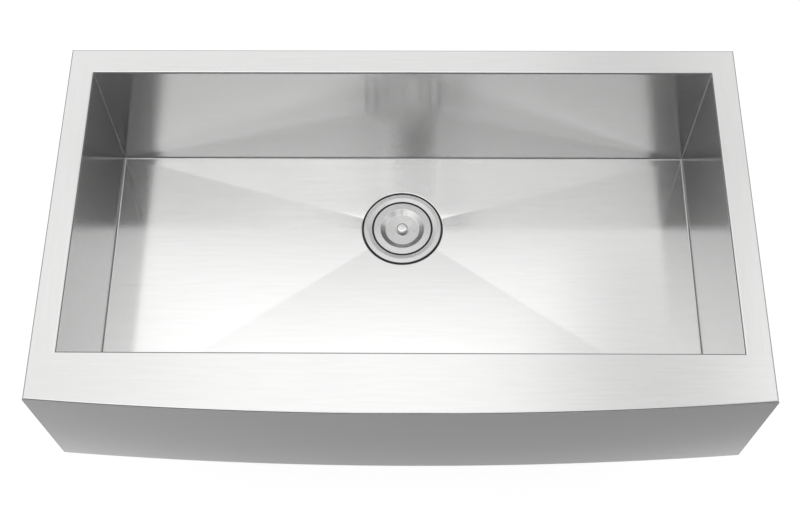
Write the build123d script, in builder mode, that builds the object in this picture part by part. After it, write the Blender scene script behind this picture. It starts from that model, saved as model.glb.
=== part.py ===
"""Farmhouse kitchen sink: one large square-cornered steel bowl with a bowed apron front,
sound-damping pads, and a basket strainer whose lid and basket lift out.

Millimetres. The origin is the middle of the back rim's top face, +X runs to the right,
+Y towards the back, and +Z up, so the top of every rim lies at z = 0.
"""
from build123d import *
import math
import os

os.makedirs("parts", exist_ok=True)

# ---------------------------------------------------------------------------
# Driving sizes of the welded steel shell
# ---------------------------------------------------------------------------
sink_length = 911.0          # left end to right end
sheet = 1.5                  # steel of the bowl, the rims and the apron
opening_width = 412.0        # bowl opening, front to back
bowl_depth = 225.0           # top of the rims to the foot of the walls
floor_fall = 6.0             # fall of the floor from the walls to the drain's centre
drain_setback = 117.75       # drain's centre to the back wall
side_rim_width = 34.0        # left and right rims
back_rim_width = 38.5        # back rim
deck_width = 63.0            # front deck at its two ends
hem_drop = 6.0               # height of the rims' turned-down outer edge
bend_radius = 3.0            # outside radius of the bends in the sheet
fold_drop = 4.0              # leg of a bend, where the next sheet is welded on

apron_bow = 17.5             # how far the apron stands out in the middle
apron_height = 200.0
apron_inset = 6.0            # apron's lower corners, inwards of its upper ones
cheek_return = 20.0          # inward return along the back edge of each cheek
apron_lip_width = 22.0       # lip turned in along the apron's foot
stay_position = 250.0        # stays, each side of the middle
stay_flange = 16.0           # flanges that are welded to the bowl and to the apron
stay_drop = 45.0             # top of the deck to the top of a stay
stay_height = 90.0

# ---------------------------------------------------------------------------
# Driving sizes of the sound pads
# ---------------------------------------------------------------------------
pad_thickness = 4.0
pad_drop = 50.0              # top of the rims to the top of the wall pads
pad_height = 115.0           # wall pads
pad_clearance = 12.0         # front pad to the stays
back_pad_length = 560.0
side_pad_length = 240.0
floor_pad_length = 190.0     # left and right floor pads, left to right
floor_pad_width = 290.0      # left and right floor pads, front to back
floor_pad_distance = 265.0   # drain's centre to the middle of those two pads
front_floor_pad_length = 230.0
front_floor_pad_width = 120.0
front_floor_pad_distance = 109.0   # bowl's front to the middle of that pad

# ---------------------------------------------------------------------------
# Driving sizes of the strainer
# ---------------------------------------------------------------------------
flange_radius = 57.15        # 4.5 inch flange
flange_thickness = 2.0
flange_land = 6.5            # flat band inside the flange's outer edge
flange_dish = 0.8            # fall of the flange towards the lid
flange_edge_radius = 1.0     # rounded outer edge
mouth_edge_radius = 0.4      # rounded edge round the lid
recess_gap = 2.0             # flange's edge to the wall of the recess in the floor
recess_depth = 1.0           # recess below the lowest point of the pitched floor
flange_gasket_thickness = 1.5
gasket_clearance = 0.4       # flange gasket to the wall of the recess
strainer_wall = 1.2
lid_seat_radius = 44.7       # step that the lid's seal rests on
lid_seat_depth = 2.2
neck_radius = 42.6           # inside of the neck under that step
neck_depth = 4.7
cup_radius = 39.5            # inside of the cup
cup_depth = 48.0             # ledge in the neck to the bottom of the cup
cup_slope = 8.0              # height of the sloping bottom
hole_clearance = 0.4         # strainer in the drain hole
outlet_radius = 19.5         # bore of the outlet
outlet_length = 20.0
crossbar_width = 3.0         # cross that is left over the outlet in the bottom of the cup

thread_rise = 0.2            # crest of the large thread, proud of the neck
thread_depth = 0.8
thread_pitch = 2.0
cup_thread_turns = 11
outlet_thread_radius = 23.9
outlet_thread_turns = 8
thread_clearance = 0.05      # nuts on their threads

under_gasket_thickness = 3.0
under_gasket_radius = 58.0
friction_ring_thickness = 1.0
locknut_radius = 56.5        # broad face of the nut, under the friction ring
locknut_face = 3.0
locknut_height = 11.0
locknut_hub_radius = 49.5
locknut_lugs = 8
lug_width = 8.0
lug_reach = 5.0

tailpiece_radius = 19.05     # 1.5 inch tube
tailpiece_wall = 1.2
tailpiece_length = 100.0
tailpiece_lip = 3.7          # flange at the tube's upper end
washer_thickness = 2.0
coupling_height = 19.0
coupling_wall = 4.2
coupling_shoulder = 2.8
coupling_flutes = 12
flute_radius = 3.0
flute_setout = 1.5           # centres of the flutes, outside the nut's wall
tube_clearance = 1.0         # coupling nut round the tube

# ---------------------------------------------------------------------------
# Driving sizes of the pieces that lift out
# ---------------------------------------------------------------------------
rest_gap = 0.3               # lifting pieces over the seats that they rest on
side_gap = 0.4               # lifting pieces inside the walls round them

lid_sheet = 1.0
lid_radius = 42.2
lid_edge_radius = 0.5
dish_radius = 32.3           # upper edge of the lid's dish
dish_floor_radius = 24.9
dish_depth = 4.2
dish_cone = 0.6              # extra fall of the dish's floor to its middle
seal_width = 7.0             # rubber ring under the lid's edge
knob_radius = 8.0
knob_neck_radius = 4.6
knob_height = 7.6
knob_head = 4.4
knob_top_radius = 2.6        # rounding of the head's upper edge
knob_lower_radius = 1.3      # rounding of its lower edge
screw_radius = 2.5
screw_head_radius = 4.5
screw_head_height = 2.4
screw_reach = 5.0            # thread of the screw inside the knob
screw_clearance = 0.05

basket_sheet = 0.8
basket_gap = 0.9             # basket's wall to the inside of the cup
basket_depth = 34.0
basket_corner = 4.0          # rounding of the basket's lower corner
hole_radius = 2.0            # perforations
wall_hole_rows = 3
wall_hole_spacing = 7.5
wall_hole_columns = 14
wall_hole_drop = 8.0         # basket's rim to the first row
floor_hole_rings = 3
first_ring_holes = 6         # each ring has that many more than the one inside it
floor_hole_spacing = 8.5
handle_width = 9.0
handle_thickness = 1.2
handle_rise = 8.0
handle_drop = 18.0           # basket's rim to the handle's ends

# ---------------------------------------------------------------------------
# Places worked out from those sizes
# ---------------------------------------------------------------------------
half_length = sink_length / 2
half_opening = half_length - side_rim_width
opening_back = -back_rim_width / 2
opening_front = opening_back - opening_width
opening_middle = (opening_back + opening_front) / 2
rim_seam = opening_front - bend_radius
bowl_back = opening_back + sheet
bowl_front = opening_front - sheet
half_bowl = half_opening + sheet
rim_back_edge = opening_back + back_rim_width
deck_corner = opening_front - deck_width
bow_radius = (half_length**2 + apron_bow**2) / (2 * apron_bow)
bow_centre = deck_corner - apron_bow + bow_radius
apron_reach = deck_width + apron_bow
bow_angle = math.degrees(2 * math.asin(half_length / (bow_radius - apron_reach)))
drain_y = opening_back - drain_setback

floor_level = -bowl_depth
floor_tip = floor_level - floor_fall
recess_radius = flange_radius + recess_gap
recess_level = floor_tip - recess_depth
floor_underside = recess_level - sheet

flange_underside = recess_level + flange_gasket_thickness
flange_top = flange_underside + flange_thickness
flange_mouth = flange_top - flange_dish
lid_seat = flange_mouth - lid_seat_depth
ledge_level = lid_seat - neck_depth
cup_bottom = ledge_level - cup_depth
cup_underside = cup_bottom - strainer_wall
outlet_root = outlet_thread_radius - thread_depth
outlet_end = cup_bottom - outlet_length
drain_hole_radius = lid_seat_radius + strainer_wall + hole_clearance
neck_outside = neck_radius + strainer_wall
cup_thread_radius = neck_outside + thread_rise

friction_ring_top = floor_underside - under_gasket_thickness
locknut_top = friction_ring_top - friction_ring_thickness
nut_bore = cup_thread_radius + thread_clearance

washer_bottom = outlet_end - washer_thickness
tailpiece_flange_radius = tailpiece_radius + tailpiece_lip
coupling_bore = outlet_thread_radius + thread_clearance
coupling_radius = coupling_bore + coupling_wall
coupling_bottom = washer_bottom - tailpiece_wall - coupling_shoulder

basket_rim_level = ledge_level + rest_gap + basket_sheet
basket_rim_radius = neck_radius - side_gap
basket_radius = cup_radius - basket_gap
basket_floor = basket_rim_level - basket_depth

dish_bottom = flange_mouth - dish_depth - dish_cone
screw_top = dish_bottom + screw_reach

drain_section = Plane.XZ.offset(-drain_y)
drain_axis = Axis((0, drain_y, 0), (0, 0, 1))
bow_axis = Axis((0, bow_centre, 0), (0, 0, 1))
bow_left = Vector(0, -1, 0).rotate(Axis.Z, -bow_angle / 2)
bow_section = Plane(origin=(0, bow_centre, 0), x_dir=bow_left, z_dir=bow_left.cross(Vector(0, 0, 1)))


# ---------------------------------------------------------------------------
# Shapes that several pieces share
# ---------------------------------------------------------------------------
def inverted_pyramid(drop):
    """The pitched floor's hollow: its base is the bowl's plan and its tip the drain's centre."""
    base = [
        (-half_opening, opening_front, floor_level - drop),
        (half_opening, opening_front, floor_level - drop),
        (half_opening, opening_back, floor_level - drop),
        (-half_opening, opening_back, floor_level - drop),
    ]
    tip = (0, drain_y, floor_tip - drop)
    facets = [Face(Wire.make_polygon([a, b, tip])) for a, b in zip(base, base[1:] + base[:1])]
    return Solid(Shell(facets + [Face(Wire.make_polygon(base))]))


def plan_rectangle(x_size, y_size, x_middle, y_middle, mode=Mode.ADD):
    """Draw a rectangle of the plan view in the sketch that is open."""
    with Locations((x_middle, y_middle)):
        Rectangle(x_size, y_size, mode=mode)


def plan_ring(outer, inner=0):
    """Draw a disc, or a ring, round the drain's axis in the sketch that is open."""
    with Locations((0, drain_y)):
        Circle(outer)
        if inner:
            Circle(inner, mode=Mode.SUBTRACT)


def closed_outline(*points, mode=Mode.ADD):
    """Draw a straight-sided outline in the sketch that is open."""
    with BuildLine() as outline:
        Polyline(*points, close=True)
    make_face(outline.edges(), mode=mode)


def round_corner(sketch, point, radius):
    """Round the corner of the open sketch that lies nearest to a point."""
    fillet(sketch.vertices().sort_by_distance((*point, 0))[0], radius)


def rim_section(sketch, width):
    """Draw a rim's section: x runs outwards from the opening, and y runs up."""
    closed_outline(
        (0, -fold_drop),
        (0, 0),
        (width, 0),
        (width, -hem_drop),
        (width - sheet, -hem_drop),
        (width - sheet, -sheet),
        (sheet, -sheet),
        (sheet, -fold_drop),
    )
    for outside in (0, width):
        round_corner(sketch, (outside, 0), bend_radius)
    for inside in (sheet, width - sheet):
        round_corner(sketch, (inside, -sheet), bend_radius - sheet)


def bowed_plan(setback, back_edge, half_width=half_length, mode=Mode.ADD):
    """Draw the plan between a back edge and the apron's bow, set back from its front."""
    radius = bow_radius - setback
    bow_end = bow_centre - math.sqrt(radius**2 - half_width**2)
    with BuildLine() as outline:
        bow = ThreePointArc((-half_width, bow_end), (0, bow_centre - radius), (half_width, bow_end))
        Polyline(bow @ 1, (half_width, back_edge), (-half_width, back_edge), bow @ 0)
    make_face(outline.edges(), mode=mode)


def bowed_apron(setback, back, mode=Mode.ADD):
    """Turn the apron's section, rounded at its foot, round the bow's centre and past its ends."""
    outside = bow_radius - setback
    foot = -apron_height + setback
    with BuildSketch(bow_section) as section:
        closed_outline(
            (outside, -fold_drop),
            (outside, foot),
            (bow_radius - back, foot),
            (bow_radius - back, -fold_drop),
        )
        round_corner(section, (outside, foot), bend_radius - setback)
    revolve(section.sketch, axis=bow_axis, revolution_arc=bow_angle, mode=mode)


def apron_front_view(inset, mode=Mode.ADD):
    """Draw the apron under the deck, seen from the front and narrowed by an inset."""
    upper = half_length - inset
    lower = half_length - apron_inset - inset
    closed_outline(
        (-upper, -fold_drop),
        (upper, -fold_drop),
        (lower, -apron_height),
        (-lower, -apron_height),
        mode=mode,
    )


def thread_points(crest, bottom, turns):
    """Section of a thread's outside, from its bottom upwards, as a row of sharp ridges."""
    points = [(crest - thread_depth, bottom)]
    for turn in range(turns):
        ridge = bottom + turn * thread_pitch + thread_pitch / 2
        points.append((crest, ridge))
        points.append((crest - thread_depth, ridge + thread_pitch / 2))
    return points


# ---------------------------------------------------------------------------
# Bowl
# ---------------------------------------------------------------------------
with BuildPart() as bowl_floor:
    with BuildSketch(Plane.XY.offset(floor_level)):
        plan_rectangle(2 * half_bowl, bowl_back - bowl_front, 0, opening_middle)
    extrude(amount=-sheet)
    add(inverted_pyramid(sheet))
    with BuildSketch(Plane.XY.offset(floor_underside)):
        plan_ring(recess_radius + sheet)
    extrude(amount=floor_level - floor_underside)
    add(inverted_pyramid(0), mode=Mode.SUBTRACT)
    with BuildSketch(Plane.XY.offset(recess_level)):
        plan_ring(recess_radius)
    extrude(amount=floor_level - recess_level, mode=Mode.SUBTRACT)
    with BuildSketch(Plane.XY.offset(floor_underside)):
        plan_ring(drain_hole_radius)
    extrude(amount=sheet, mode=Mode.SUBTRACT)
bowl_floor.part.label = "bowl_floor"
export_step(bowl_floor.part, "parts/bowl_floor.step")

for name, wall_y in (("back", opening_back + sheet / 2), ("front", opening_front - sheet / 2)):
    with BuildPart() as long_wall:
        with BuildSketch(Plane.XY.offset(floor_level)):
            plan_rectangle(2 * half_bowl, sheet, 0, wall_y)
        extrude(amount=bowl_depth - fold_drop)
    long_wall.part.label = f"wall_{name}"
    export_step(long_wall.part, f"parts/wall_{name}.step")

for name, side in (("left", -1), ("right", 1)):
    with BuildPart() as end_wall:
        with BuildSketch(Plane.XY.offset(floor_level)):
            plan_rectangle(sheet, opening_width, side * (half_opening + sheet / 2), opening_middle)
        extrude(amount=bowl_depth - fold_drop)
    end_wall.part.label = f"wall_{name}"
    export_step(end_wall.part, f"parts/wall_{name}.step")

# ---------------------------------------------------------------------------
# Rims, mitred at the back corners, and front deck
# ---------------------------------------------------------------------------
with BuildPart() as rim_back:
    back_end = Plane(origin=(-half_length, opening_back, 0), x_dir=(0, 1, 0), z_dir=(1, 0, 0))
    with BuildSketch(back_end) as section:
        rim_section(section, back_rim_width)
    extrude(amount=2 * half_length)
    with BuildSketch():
        closed_outline(
            (-half_opening, opening_back),
            (half_opening, opening_back),
            (half_length, rim_back_edge),
            (-half_length, rim_back_edge),
        )
    extrude(amount=-hem_drop, mode=Mode.INTERSECT)
rim_back.part.label = "rim_back"
export_step(rim_back.part, "parts/rim_back.step")

for name, side in (("left", -1), ("right", 1)):
    with BuildPart() as side_rim:
        front_end = Plane(
            origin=(side * half_opening, rim_seam, 0),
            x_dir=(side, 0, 0),
            z_dir=(0, -side, 0),
        )
        with BuildSketch(front_end) as section:
            rim_section(section, side_rim_width)
        extrude(amount=-side * (rim_back_edge - rim_seam))
        with BuildSketch():
            closed_outline(
                (side * half_opening, opening_front),
                (side * half_opening, opening_back),
                (side * half_length, rim_back_edge),
                (side * half_length, rim_seam),
                (side * (half_opening + bend_radius), rim_seam),
            )
        extrude(amount=-hem_drop, mode=Mode.INTERSECT)
    side_rim.part.label = f"rim_{name}"
    export_step(side_rim.part, f"parts/rim_{name}.step")

with BuildPart() as deck_hollow:
    with BuildSketch(Plane.XY.offset(-fold_drop)):
        bowed_plan(sheet, bowl_front, half_length - sheet)
    extrude(amount=fold_drop - sheet)
    fillet(deck_hollow.faces().sort_by(Axis.Z)[-1].edges(), bend_radius - sheet)

with BuildPart() as front_deck:
    with BuildSketch():
        bowed_plan(0, rim_seam)
        closed_outline(
            (-half_opening - bend_radius, rim_seam),
            (-half_opening, opening_front),
            (half_opening, opening_front),
            (half_opening + bend_radius, rim_seam),
        )
    extrude(amount=-fold_drop)
    deck_top = front_deck.faces().sort_by(Axis.Z)[-1].edges()
    mouth = deck_top.sort_by_distance((0, opening_front, 0))[0]
    apron_edge = deck_top.sort_by_distance((0, bow_centre - bow_radius, 0))[0]
    ends = [
        deck_top.sort_by_distance((side * half_length, (deck_corner + rim_seam) / 2, 0))[0]
        for side in (-1, 1)
    ]
    fillet([mouth, apron_edge, *ends], bend_radius)
    add(deck_hollow.part, mode=Mode.SUBTRACT)
front_deck.part.label = "front_deck"
export_step(front_deck.part, "parts/front_deck.step")

# ---------------------------------------------------------------------------
# Apron: a bowed face, two cheeks with a return, a lip along the foot and two stays
# ---------------------------------------------------------------------------
apron_plane = Plane.XZ.offset(-rim_seam)

with BuildPart() as apron_face:
    bowed_apron(0, fold_drop)
    bowed_apron(sheet, fold_drop, mode=Mode.SUBTRACT)
    with BuildSketch(apron_plane):
        apron_front_view(0)
    extrude(amount=apron_reach, mode=Mode.INTERSECT)
apron_face.part.label = "apron_face"
export_step(apron_face.part, "parts/apron_face.step")

for name, side in (("left", -1), ("right", 1)):
    with BuildPart() as cheek:
        with BuildSketch(apron_plane):
            apron_front_view(0)
            apron_front_view(cheek_return, mode=Mode.SUBTRACT)
            plan_rectangle(half_length, 2 * apron_height, side * half_length / 2, 0, mode=Mode.INTERSECT)
        extrude(amount=sheet)
        with BuildSketch(apron_plane):
            apron_front_view(0)
            apron_front_view(sheet, mode=Mode.SUBTRACT)
            plan_rectangle(half_length, 2 * apron_height, side * half_length / 2, 0, mode=Mode.INTERSECT)
        extrude(amount=apron_reach)
        bowed_apron(0, apron_reach, mode=Mode.INTERSECT)
        add(apron_face.part, mode=Mode.SUBTRACT)
    cheek.part.label = f"apron_cheek_{name}"
    export_step(cheek.part, f"parts/apron_cheek_{name}.step")

with BuildPart() as apron_lip:
    with BuildSketch(Plane.XY.offset(-apron_height)):
        bowed_plan(fold_drop, rim_seam)
        bowed_plan(apron_lip_width, rim_seam, mode=Mode.SUBTRACT)
    extrude(amount=sheet)
    with BuildSketch(apron_plane):
        apron_front_view(sheet)
    extrude(amount=apron_reach, mode=Mode.INTERSECT)
apron_lip.part.label = "apron_lip"
export_step(apron_lip.part, "parts/apron_lip.step")

for name, side in (("left", -1), ("right", 1)):
    flange_middle = side * (stay_position + stay_flange / 2)
    inside_middle = side * (stay_position + (stay_flange + sheet) / 2)
    with BuildPart() as stay:
        with BuildSketch(Plane.XY.offset(-stay_drop)):
            bowed_plan(sheet, bowl_front)
            plan_rectangle(stay_flange, 2 * apron_reach, flange_middle, bowl_front, mode=Mode.INTERSECT)
        extrude(amount=-stay_height)
        with BuildSketch(Plane.XY.offset(-stay_drop)):
            bowed_plan(2 * sheet, bowl_front - sheet)
            plan_rectangle(
                stay_flange - sheet, 2 * apron_reach, inside_middle, bowl_front, mode=Mode.INTERSECT
            )
        extrude(amount=-stay_height, mode=Mode.SUBTRACT)
    stay.part.label = f"apron_stay_{name}"
    export_step(stay.part, f"parts/apron_stay_{name}.step")

# ---------------------------------------------------------------------------
# Sound pads, glued to the outside of the walls and under the pitched floor
# ---------------------------------------------------------------------------
front_pad_length = 2 * (stay_position - pad_clearance)
wall_pads = (
    ("back_pad", back_pad_length, pad_thickness, 0, bowl_back + pad_thickness / 2),
    ("front_pad", front_pad_length, pad_thickness, 0, bowl_front - pad_thickness / 2),
    ("left_pad", pad_thickness, side_pad_length, -half_bowl - pad_thickness / 2, opening_middle),
    ("right_pad", pad_thickness, side_pad_length, half_bowl + pad_thickness / 2, opening_middle),
)
for name, x_size, y_size, x_middle, y_middle in wall_pads:
    with BuildPart() as wall_pad:
        with BuildSketch(Plane.XY.offset(-pad_drop)):
            plan_rectangle(x_size, y_size, x_middle, y_middle)
        extrude(amount=-pad_height)
    wall_pad.part.label = name
    export_step(wall_pad.part, f"parts/{name}.step")

floor_pads = (
    ("floor_pad_left", floor_pad_length, floor_pad_width, -floor_pad_distance, opening_middle),
    ("floor_pad_right", floor_pad_length, floor_pad_width, floor_pad_distance, opening_middle),
    (
        "floor_pad_front",
        front_floor_pad_length,
        front_floor_pad_width,
        0,
        opening_front + front_floor_pad_distance,
    ),
)
for name, x_size, y_size, x_middle, y_middle in floor_pads:
    with BuildPart() as floor_pad:
        with BuildSketch(Plane.XY.offset(floor_level - sheet)):
            plan_rectangle(x_size, y_size, x_middle, y_middle)
        extrude(amount=-pad_thickness)
        add(inverted_pyramid(sheet + pad_thickness))
        with BuildSketch(Plane.XY.offset(floor_level - sheet)):
            plan_rectangle(x_size, y_size, x_middle, y_middle)
        extrude(amount=-floor_fall - pad_thickness, mode=Mode.INTERSECT)
        add(inverted_pyramid(sheet), mode=Mode.SUBTRACT)
    floor_pad.part.label = name
    export_step(floor_pad.part, f"parts/{name}.step")

# ---------------------------------------------------------------------------
# Strainer, fixed in the drain hole
# ---------------------------------------------------------------------------
with BuildPart() as flange_gasket:
    with BuildSketch(Plane.XY.offset(recess_level)):
        plan_ring(recess_radius - gasket_clearance, drain_hole_radius)
    extrude(amount=flange_gasket_thickness)
flange_gasket.part.label = "flange_gasket"
export_step(flange_gasket.part, "parts/flange_gasket.step")

with BuildPart() as strainer_body:
    cup_outside = cup_radius + strainer_wall
    neck_underside = ledge_level - strainer_wall
    cup_thread_bottom = neck_underside - cup_thread_turns * thread_pitch
    with BuildSketch(drain_section) as section:
        closed_outline(
            (flange_radius, flange_underside),
            (flange_radius, flange_top),
            (flange_radius - flange_land, flange_top),
            (lid_seat_radius, flange_mouth),
            (lid_seat_radius, lid_seat),
            (neck_radius, lid_seat),
            (neck_radius, ledge_level),
            (cup_radius, ledge_level),
            (cup_radius, cup_bottom + cup_slope),
            (outlet_radius, cup_bottom),
            (outlet_radius, cup_underside),
            (outlet_root, cup_underside),
            (cup_outside, cup_underside + cup_slope),
            (cup_outside, cup_thread_bottom),
            *thread_points(cup_thread_radius, cup_thread_bottom, cup_thread_turns),
            (neck_outside, neck_underside),
            (neck_outside, lid_seat - strainer_wall),
            (lid_seat_radius + strainer_wall, lid_seat - strainer_wall),
            (lid_seat_radius + strainer_wall, flange_underside),
        )
        round_corner(section, (flange_radius, flange_top), flange_edge_radius)
        round_corner(section, (lid_seat_radius, flange_mouth), mouth_edge_radius)
        round_corner(section, (cup_radius, cup_bottom + cup_slope), cup_slope)
    revolve(axis=drain_axis)
    with BuildSketch(Plane.XY.offset(cup_underside)):
        bar_length = 2 * outlet_radius + strainer_wall
        plan_rectangle(bar_length, crossbar_width, 0, drain_y)
        plan_rectangle(crossbar_width, bar_length, 0, drain_y)
    extrude(amount=strainer_wall)
strainer_body.part.label = "strainer_body"
export_step(strainer_body.part, "parts/strainer_body.step")

with BuildPart() as outlet_spud:
    with BuildSketch(drain_section):
        closed_outline(
            (outlet_radius, cup_underside),
            (outlet_radius, outlet_end),
            *thread_points(outlet_thread_radius, outlet_end, outlet_thread_turns),
            (outlet_root, cup_underside),
        )
    revolve(axis=drain_axis)
outlet_spud.part.label = "outlet_spud"
export_step(outlet_spud.part, "parts/outlet_spud.step")

gasket_bore = cup_thread_radius + gasket_clearance
with BuildPart() as under_gasket:
    with BuildSketch(Plane.XY.offset(floor_underside)):
        plan_ring(under_gasket_radius, gasket_bore)
    extrude(amount=-under_gasket_thickness)
under_gasket.part.label = "under_gasket"
export_step(under_gasket.part, "parts/under_gasket.step")

with BuildPart() as friction_ring:
    with BuildSketch(Plane.XY.offset(friction_ring_top)):
        plan_ring(locknut_radius, gasket_bore)
    extrude(amount=-friction_ring_thickness)
friction_ring.part.label = "friction_ring"
export_step(friction_ring.part, "parts/friction_ring.step")

with BuildPart() as locknut:
    with BuildSketch(Plane.XY.offset(locknut_top)):
        plan_ring(locknut_radius, nut_bore)
    extrude(amount=-locknut_face)
    with BuildSketch(Plane.XY.offset(locknut_top)):
        with Locations((0, drain_y)):
            Circle(locknut_hub_radius)
            with PolarLocations(locknut_hub_radius, locknut_lugs):
                Rectangle(2 * lug_reach, lug_width)
            Circle(nut_bore, mode=Mode.SUBTRACT)
    extrude(amount=-locknut_height)
locknut.part.label = "locknut"
export_step(locknut.part, "parts/locknut.step")

with BuildPart() as tailpiece_washer:
    with BuildSketch(Plane.XY.offset(outlet_end)):
        plan_ring(tailpiece_flange_radius, outlet_radius)
    extrude(amount=-washer_thickness)
tailpiece_washer.part.label = "tailpiece_washer"
export_step(tailpiece_washer.part, "parts/tailpiece_washer.step")

with BuildPart() as tailpiece:
    with BuildSketch(Plane.XY.offset(washer_bottom)):
        plan_ring(tailpiece_flange_radius, tailpiece_radius - tailpiece_wall)
    extrude(amount=-tailpiece_wall)
    with BuildSketch(Plane.XY.offset(washer_bottom)):
        plan_ring(tailpiece_radius, tailpiece_radius - tailpiece_wall)
    extrude(amount=-tailpiece_length)
tailpiece.part.label = "tailpiece"
export_step(tailpiece.part, "parts/tailpiece.step")

with BuildPart() as coupling_nut:
    with BuildSketch(Plane.XY.offset(coupling_bottom)):
        with Locations((0, drain_y)):
            Circle(coupling_radius)
            with PolarLocations(coupling_radius + flute_setout, coupling_flutes):
                Circle(flute_radius, mode=Mode.SUBTRACT)
            Circle(tailpiece_radius + tube_clearance, mode=Mode.SUBTRACT)
    extrude(amount=coupling_height)
    with BuildSketch(Plane.XY.offset(coupling_bottom + coupling_shoulder)):
        plan_ring(coupling_bore)
    extrude(amount=coupling_height, mode=Mode.SUBTRACT)
coupling_nut.part.label = "coupling_nut"
export_step(coupling_nut.part, "parts/coupling_nut.step")

# ---------------------------------------------------------------------------
# Basket, which lifts out of the cup
# ---------------------------------------------------------------------------
basket_bore = basket_radius - basket_sheet
with BuildPart() as basket_cup:
    with BuildSketch(drain_section) as section:
        closed_outline(
            (0, basket_floor),
            (basket_radius, basket_floor),
            (basket_radius, basket_rim_level - basket_sheet),
            (basket_rim_radius, basket_rim_level - basket_sheet),
            (basket_rim_radius, basket_rim_level),
            (basket_bore, basket_rim_level),
            (basket_bore, basket_floor + basket_sheet),
            (0, basket_floor + basket_sheet),
        )
        round_corner(section, (basket_radius, basket_floor), basket_corner)
        round_corner(section, (basket_bore, basket_floor + basket_sheet), basket_corner - basket_sheet)
    revolve(axis=drain_axis)
    with BuildSketch(Plane.XY.offset(basket_floor)):
        with Locations((0, drain_y)):
            Circle(hole_radius)
            for ring in range(1, floor_hole_rings + 1):
                with PolarLocations(ring * floor_hole_spacing, first_ring_holes * ring):
                    Circle(hole_radius)
    extrude(amount=basket_sheet, mode=Mode.SUBTRACT)
    for row in range(wall_hole_rows):
        row_level = basket_rim_level - wall_hole_drop - row * wall_hole_spacing
        stagger = (row % 2) * 360 / wall_hole_columns / 2
        with Locations((0, drain_y, row_level)):
            with PolarLocations(0, wall_hole_columns, start_angle=stagger):
                Cylinder(
                    hole_radius,
                    basket_radius + basket_sheet,
                    rotation=(0, 90, 0),
                    align=(Align.CENTER, Align.CENTER, Align.MIN),
                    mode=Mode.SUBTRACT,
                )
basket_cup.part.label = "basket_cup"
export_step(basket_cup.part, "parts/basket_cup.step")

with BuildPart() as basket_handle:
    handle_foot = basket_rim_level - handle_drop
    with BuildSketch(drain_section):
        with BuildLine():
            arch = ThreePointArc(
                (-basket_radius, handle_foot), (0, handle_foot + handle_rise), (basket_radius, handle_foot)
            )
            drop = handle_foot - handle_thickness
            under = ThreePointArc((basket_radius, drop), (0, drop + handle_rise), (-basket_radius, drop))
            Line(arch @ 1, under @ 0)
            Line(under @ 1, arch @ 0)
        make_face()
    extrude(amount=handle_width / 2, both=True)
    with BuildSketch(Plane.XY.offset(basket_floor)):
        plan_ring(basket_bore)
    extrude(amount=basket_depth, mode=Mode.INTERSECT)
basket_handle.part.label = "basket_handle"
export_step(basket_handle.part, "parts/basket_handle.step")

# ---------------------------------------------------------------------------
# Lid, which closes the drain and lifts off by its knob
# ---------------------------------------------------------------------------
with BuildPart() as lid_disc:
    dish_floor = flange_mouth - dish_depth
    with BuildSketch(drain_section) as section:
        with BuildLine():
            floor_top = Line((0, dish_bottom), (dish_floor_radius, dish_floor))
            TangentArc(floor_top @ 1, (dish_radius, flange_mouth), tangent=(1, 0))
            Polyline(
                (dish_radius, flange_mouth),
                (lid_radius, flange_mouth),
                (lid_radius, flange_mouth - lid_sheet),
                (dish_radius + lid_sheet, flange_mouth - lid_sheet),
            )
            wall_under = TangentArc(
                (dish_floor_radius, dish_floor - lid_sheet),
                (dish_radius + lid_sheet, flange_mouth - lid_sheet),
                tangent=(1, 0),
            )
            Polyline(wall_under @ 0, (0, dish_bottom - lid_sheet), floor_top @ 0)
        make_face()
        round_corner(section, (lid_radius, flange_mouth), lid_edge_radius)
    revolve(axis=drain_axis)
    with BuildSketch(Plane.XY.offset(dish_bottom - lid_sheet)):
        plan_ring(screw_radius + screw_clearance)
    extrude(amount=2 * lid_sheet, mode=Mode.SUBTRACT)
lid_disc.part.label = "lid_disc"
export_step(lid_disc.part, "parts/lid_disc.step")

with BuildPart() as lid_seal:
    seal_radius = lid_seat_radius - side_gap
    seal_bottom = lid_seat + rest_gap
    with BuildSketch(Plane.XY.offset(seal_bottom)):
        plan_ring(seal_radius, seal_radius - seal_width)
    extrude(amount=flange_mouth - lid_sheet - seal_bottom)
lid_seal.part.label = "lid_seal"
export_step(lid_seal.part, "parts/lid_seal.step")

with BuildPart() as lid_knob:
    knob_top = dish_bottom + knob_height
    cone_rise = dish_cone * knob_neck_radius / dish_floor_radius
    screw_bore = screw_radius + screw_clearance
    with BuildSketch(drain_section) as section:
        closed_outline(
            (screw_bore, dish_bottom + cone_rise),
            (knob_neck_radius, dish_bottom + cone_rise),
            (knob_neck_radius, knob_top - knob_head),
            (knob_radius, knob_top - knob_head),
            (knob_radius, knob_top),
            (0, knob_top),
            (0, screw_top),
            (screw_bore, screw_top),
        )
        round_corner(section, (knob_radius, knob_top), knob_top_radius)
        round_corner(section, (knob_radius, knob_top - knob_head), knob_lower_radius)
    revolve(axis=drain_axis)
lid_knob.part.label = "lid_knob"
export_step(lid_knob.part, "parts/lid_knob.step")

with BuildPart() as lid_screw:
    with BuildSketch(Plane.XY.offset(dish_bottom - lid_sheet - screw_head_height)):
        plan_ring(screw_head_radius)
    extrude(amount=screw_head_height)
    with BuildSketch(Plane.XY.offset(dish_bottom - lid_sheet)):
        plan_ring(screw_radius)
    extrude(amount=lid_sheet + screw_reach)
lid_screw.part.label = "lid_screw"
export_step(lid_screw.part, "parts/lid_screw.step")
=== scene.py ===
"""Looks of a square-cornered steel kitchen sink with a bowed apron and a basket strainer.

Metres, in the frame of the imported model: the origin is the middle of the back rim's top face,
+X runs to the right, +Y towards the back and +Z up.
"""

import math

import bmesh
import bpy
from mathutils import Matrix, Vector


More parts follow.
